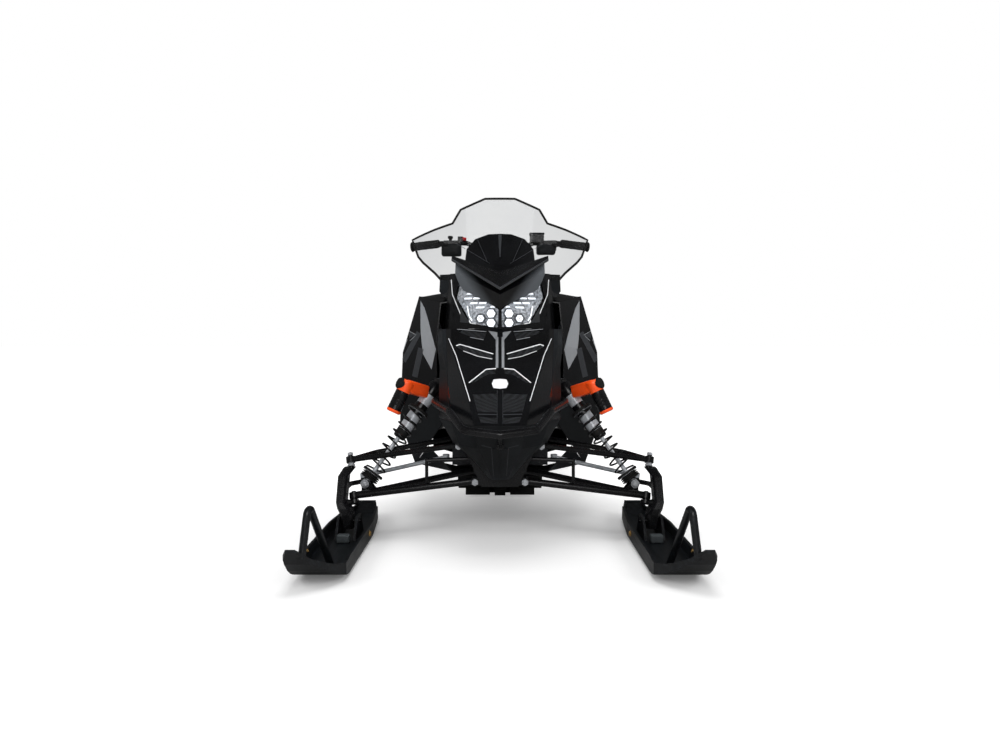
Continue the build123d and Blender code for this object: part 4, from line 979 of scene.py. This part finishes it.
on_line("reservoir_cap", top_cap, bottle_line, orange_anodised)

# %% [markdown]
# ## Inner shields and the track's ribs
# A flat plate at each side closes the gap that shows between the foot panels and the nose, behind
# the arms. Under the belt, a rib runs across at each row of lugs that stands on the snow.

# %% Inner shields
shield_outline = [(0.185, 0.235), (0.285, 0.262), (0.290, 0.335), (0.185, 0.345)]
shield_face, shield_thick = -0.42, 0.003


def inner_shield():
    """A flat black plate that faces forward."""
    bm = bmesh.new()
    bm.faces.new([bm.verts.new((x, shield_face, z)) for x, z in shield_outline])
    bmesh.ops.solidify(bm, geom=bm.faces[:], thickness=shield_thick)
    bmesh.ops.recalc_face_normals(bm, faces=bm.faces[:])
    return bm


on_both_sides("inner_shield", inner_shield, grained_pp)

# %% Cross ribs of the track
rib_width, rib_depth, rib_height, rib_bevel = 0.312, 0.012, 0.027, 0.002
rib_middle = 0.0205  # the height of a rib's middle above the snow
row_gap = 0.02  # lug corners nearer than this belong to one row
tip_height, inner_lugs = 0.001, 0.05  # lug tips lie below the first, and drive lugs inside the second


def track_ribs():
    """A block across the belt at every row of outer lugs whose tips are at ground level."""
    track = nodes["track"]
    corners = [track.matrix_world @ vert.co for vert in track.data.vertices]
    rows = []
    for y in sorted(p.y for p in corners if p.z < tip_height and abs(p.x) > inner_lugs):
        if not rows or y - rows[-1][-1] > row_gap:
            rows.append([])
        rows[-1].append(y)
    size = (rib_width, rib_depth, rib_height)
    return merged(block((0, sum(row) / len(row), rib_middle), size, rib_bevel) for row in rows)


add_piece("track_ribs", track_ribs(), moulded_rubber)

# %% [markdown]
# ## Bolts and studs
# The suspension is held by zinc-plated bolts whose heads face forward, and a bare collar shows at
# each upper ball joint, under its nut.


# %% Bolt heads and collars
def bolt_head(place, toward, radius, height, sides=6):
    """A bolt's head with a washer, seen end on."""
    washer = radius * 1.35
    profile = [
        (0, 0), (0, washer), (height * 0.25, washer), (height * 0.25, radius),
        (height * 0.9, radius), (height, radius * 0.85), (height, 0),
    ]
    return turned(profile, place, Vector(place) + Vector(toward), steps=sides)


def bolt_heads(rows, height):
    """One piece of bolt heads of one height; columns: place, the way it faces, radius."""
    return merged(bolt_head(*row, height) for row in rows)


forward = (0, -1, 0)
pivot_bolts = [((0.0899, -0.984, 0.214), forward, 0.0095), ((0.148, -0.984, 0.344), forward, 0.0095)]
on_both_sides("pivot_bolts", lambda: bolt_heads(pivot_bolts, height=0.008), zinc_plate)
eye = [(0, 0), (0, 0.0155), (0.003, 0.0155), (0.003, 0.013), (0.007, 0.012), (0.0105, 0.0085), (0.012, 0)]
on_both_sides("shock_bolt", lambda: turned(eye, (0.497, -0.9143, 0.196), (0.497, -1, 0.196)), zinc_plate)
kingpin = Vector((0.020, 0.050, 0.123)).normalized()
ball = Vector((0.550, -0.900, 0.283))
collar = [
    (-0.0245, 0.008), (-0.0245, 0.0125), (-0.021, 0.0145), (-0.016, 0.0115),
    (-0.0118, 0.0105), (-0.0118, 0.008),
]
on_both_sides(
    "ball_collar",
    lambda: turned(collar, ball, ball + kingpin, closed=True),
    zinc_plate,
    "spindle",
)
nut = [(0.0165, 0), (0.0165, 0.0105), (0.0255, 0.0105), (0.0275, 0.008), (0.0275, 0)]
on_both_sides("ball_nut", lambda: turned(nut, ball, ball + kingpin, steps=6), zinc_plate, "spindle")

# %% [markdown]
# ## Ski fittings
# A grey rubber block in front of each fork stops the ski from tipping too far. Brass heads show at
# the hand loop's foot and on both sides of the ski.

# %% Stops and brass bolts
on_both_sides(
    "ski_stop", lambda: block((0.544, -1.082, 0.0365), (0.044, 0.034, 0.028), 0.005), stop_rubber, "ski"
)


# columns: place, the way it faces, radius; two at the loop's foot, then one on each side of the ski
ski_bolts = [
    ((0.573, -1.5655, 0.1055), (0, -0.8, -0.6), 0.0085),
    ((0.563, -1.548, 0.118), (0, 0.5, 0.85), 0.0075),
    ((0.4642, -1.02, 0.038), (-1, 0, 0), 0.0085),
    ((0.6238, -1.02, 0.038), (1, 0, 0), 0.0085),
]
on_both_sides("ski_bolts", lambda: bolt_heads(ski_bolts, height=0.006), brass_bolt, "ski")

# %% [markdown]
# ## Nose and tunnel
# A raised facet with two fine fold lines runs down the middle of the nose, a clip holds the
# bumper's stay to it, rivets run along the tunnel's sides, and a screw cap closes the fuel tank.

# %% Nose facet and stay clip
facet = [(0.027, 0.364), (0, 0.368), (0, 0.256), (0.021, 0.256)]
add_piece("nose_facet", patch("nose_pan", [facet], proud=0.0026, thick=0.0024), grained_pp)
nose_lines = stripe([(0.0285, 0.364), (0.0225, 0.256)], 0.0016)
nose_lines += stripe([(0.0285, 0.366), (0.062, 0.374)], 0.0016)
trim("nose_lines", "nose_pan", nose_lines, grey_film)
add_piece("stay_clip", block((0, -1.192, 0.372), (0.026, 0.02, 0.02), 0.004), powder_coat)


# %% Tunnel rivets and fuel cap
rivet_rows = range(24)
rivet_first, rivet_pitch = 0.03, 0.05
rivet_x, rivet_z = 0.205, 0.498


def rivet(way, y):
    """A domed rivet on the tunnel's side, for way 1 or -1."""
    dome = [(0, 0), (0, 0.0055), (0.0012, 0.0048), (0.002, 0.0028), (0.0023, 0)]
    return turned(dome, (way * rivet_x, y, rivet_z), (way * 0.3, y, rivet_z), steps=12)


rivets = merged(rivet(way, rivet_first + rivet_pitch * k) for way in (1, -1) for k in rivet_rows)
add_piece("tunnel_rivets", rivets, zinc_plate)
cap = [(0, 0), (0, 0.041), (0.004, 0.043), (0.016, 0.043), (0.02, 0.040), (0.022, 0.03), (0.0225, 0)]
add_piece("fuel_cap", turned(cap, (0, -0.012, 0.908), (0, 0.06, 1.2), steps=24), grained_pp)

# %% [markdown]
# ## Seat
# The seat is a foam pad in a vinyl cover. Its solid shape is made a little smaller, divided into
# small cells, and blown up as cloth, which rounds its corners and crowns its top the way foam
# does. Its underside stays flat on the seat's base. Piping then runs along both shoulders and two
# seams cross it.


# %% Foam pad, blown up as cloth
pad_middle_y, pad_middle_z = 0.51, 0.70
pad_shrink = (0.95, 0.985, 0.95)  # across, along and up, to leave room for the swelling
pad_cell = 0.006
held_below = 0.712  # the underside, which lies on the seat's base
most_swell = 0.009
cloth_steps = 20


def seat_pad():
    """The padded seat as its own object, from the solid seat's shape."""
    pad_mesh = nodes["seat"].data.copy()
    pad_mesh.name = "seat_pad"
    bm = welded("seat")
    middle = Vector((0, pad_middle_y, pad_middle_z))
    across, along, up = pad_shrink
    for vert in bm.verts:
        vert.co.x *= across
        vert.co.y = middle.y + (vert.co.y - middle.y) * along
        vert.co.z = middle.z + (vert.co.z - middle.z) * up
    bm.to_mesh(pad_mesh)
    bm.free()
    pad = placed("seat_pad", pad_mesh)
    remesh = pad.modifiers.new("cells", "REMESH")
    remesh.mode = "VOXEL"
    remesh.voxel_size = pad_cell
    settle(pad)
    blow_up(pad)
    return pad


def settle(piece):
    """Makes the shape that a piece's modifiers give its own mesh."""
    shaped = bpy.data.meshes.new_from_object(piece.evaluated_get(bpy.context.evaluated_depsgraph_get()))
    piece.modifiers.clear()
    piece.data = shaped


def blow_up(pad):
    """Swells a pad as cloth with its underside held, and lets no point move further than most_swell."""
    before = [vert.co.copy() for vert in pad.data.vertices]
    held = pad.vertex_groups.new(name="held")
    held.add([vert.index for vert in pad.data.vertices if vert.co.z < held_below], 1.0, "REPLACE")
    cloth = pad.modifiers.new("cloth", "CLOTH")
    cloth.settings.use_pressure = True
    cloth.settings.uniform_pressure_force = 4
    cloth.settings.effector_weights.gravity = 0
    cloth.settings.vertex_group_mass = "held"
    cloth.settings.quality = 4
    cloth.collision_settings.use_collision = False
    for step in range(1, cloth_steps + 1):
        bpy.context.scene.frame_set(step)
    settle(pad)
    for vert, was in zip(pad.data.vertices, before):
        moved = vert.co - was
        if moved.length > most_swell:
            vert.co = was + moved * (most_swell / moved.length)
    bpy.context.scene.frame_set(1)


pad = seat_pad()
pad.data.materials.clear()
pad.data.materials.append(seat_vinyl)
pad.data.shade_smooth()
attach(pad, "chassis")
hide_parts("seat")

# %% Piping and cross seams that lie on the pad
pad_skin = BVHTree.FromObject(pad, bpy.context.evaluated_depsgraph_get())


def on_pad(x, y):
    """The top of the pad at x and y."""
    hit = pad_skin.ray_cast(Vector((x, y, 1.2)), Vector((0, 0, -1)))[0]
    return (x, y, hit.z)


# columns: y, half width of the top there
shoulder = [
    (0.095, 0.066), (0.20, 0.090), (0.38, 0.098), (0.56, 0.106), (0.72, 0.108), (0.86, 0.108),
    (0.925, 0.098),
]
for side, way in (("left", 1), ("right", -1)):
    line = [on_pad(way * x, y) for y, x in walked(shoulder, 6)]
    tube(f"seat_piping_{side}", line, 0.0028, seat_vinyl)
for name, y, half in (("front", 0.36, 0.096), ("rear", 0.64, 0.106)):
    line = [on_pad(-half + half * k / 12, y) for k in range(25)]
    tube(f"seat_seam_{name}", line, 0.0016, seat_vinyl)
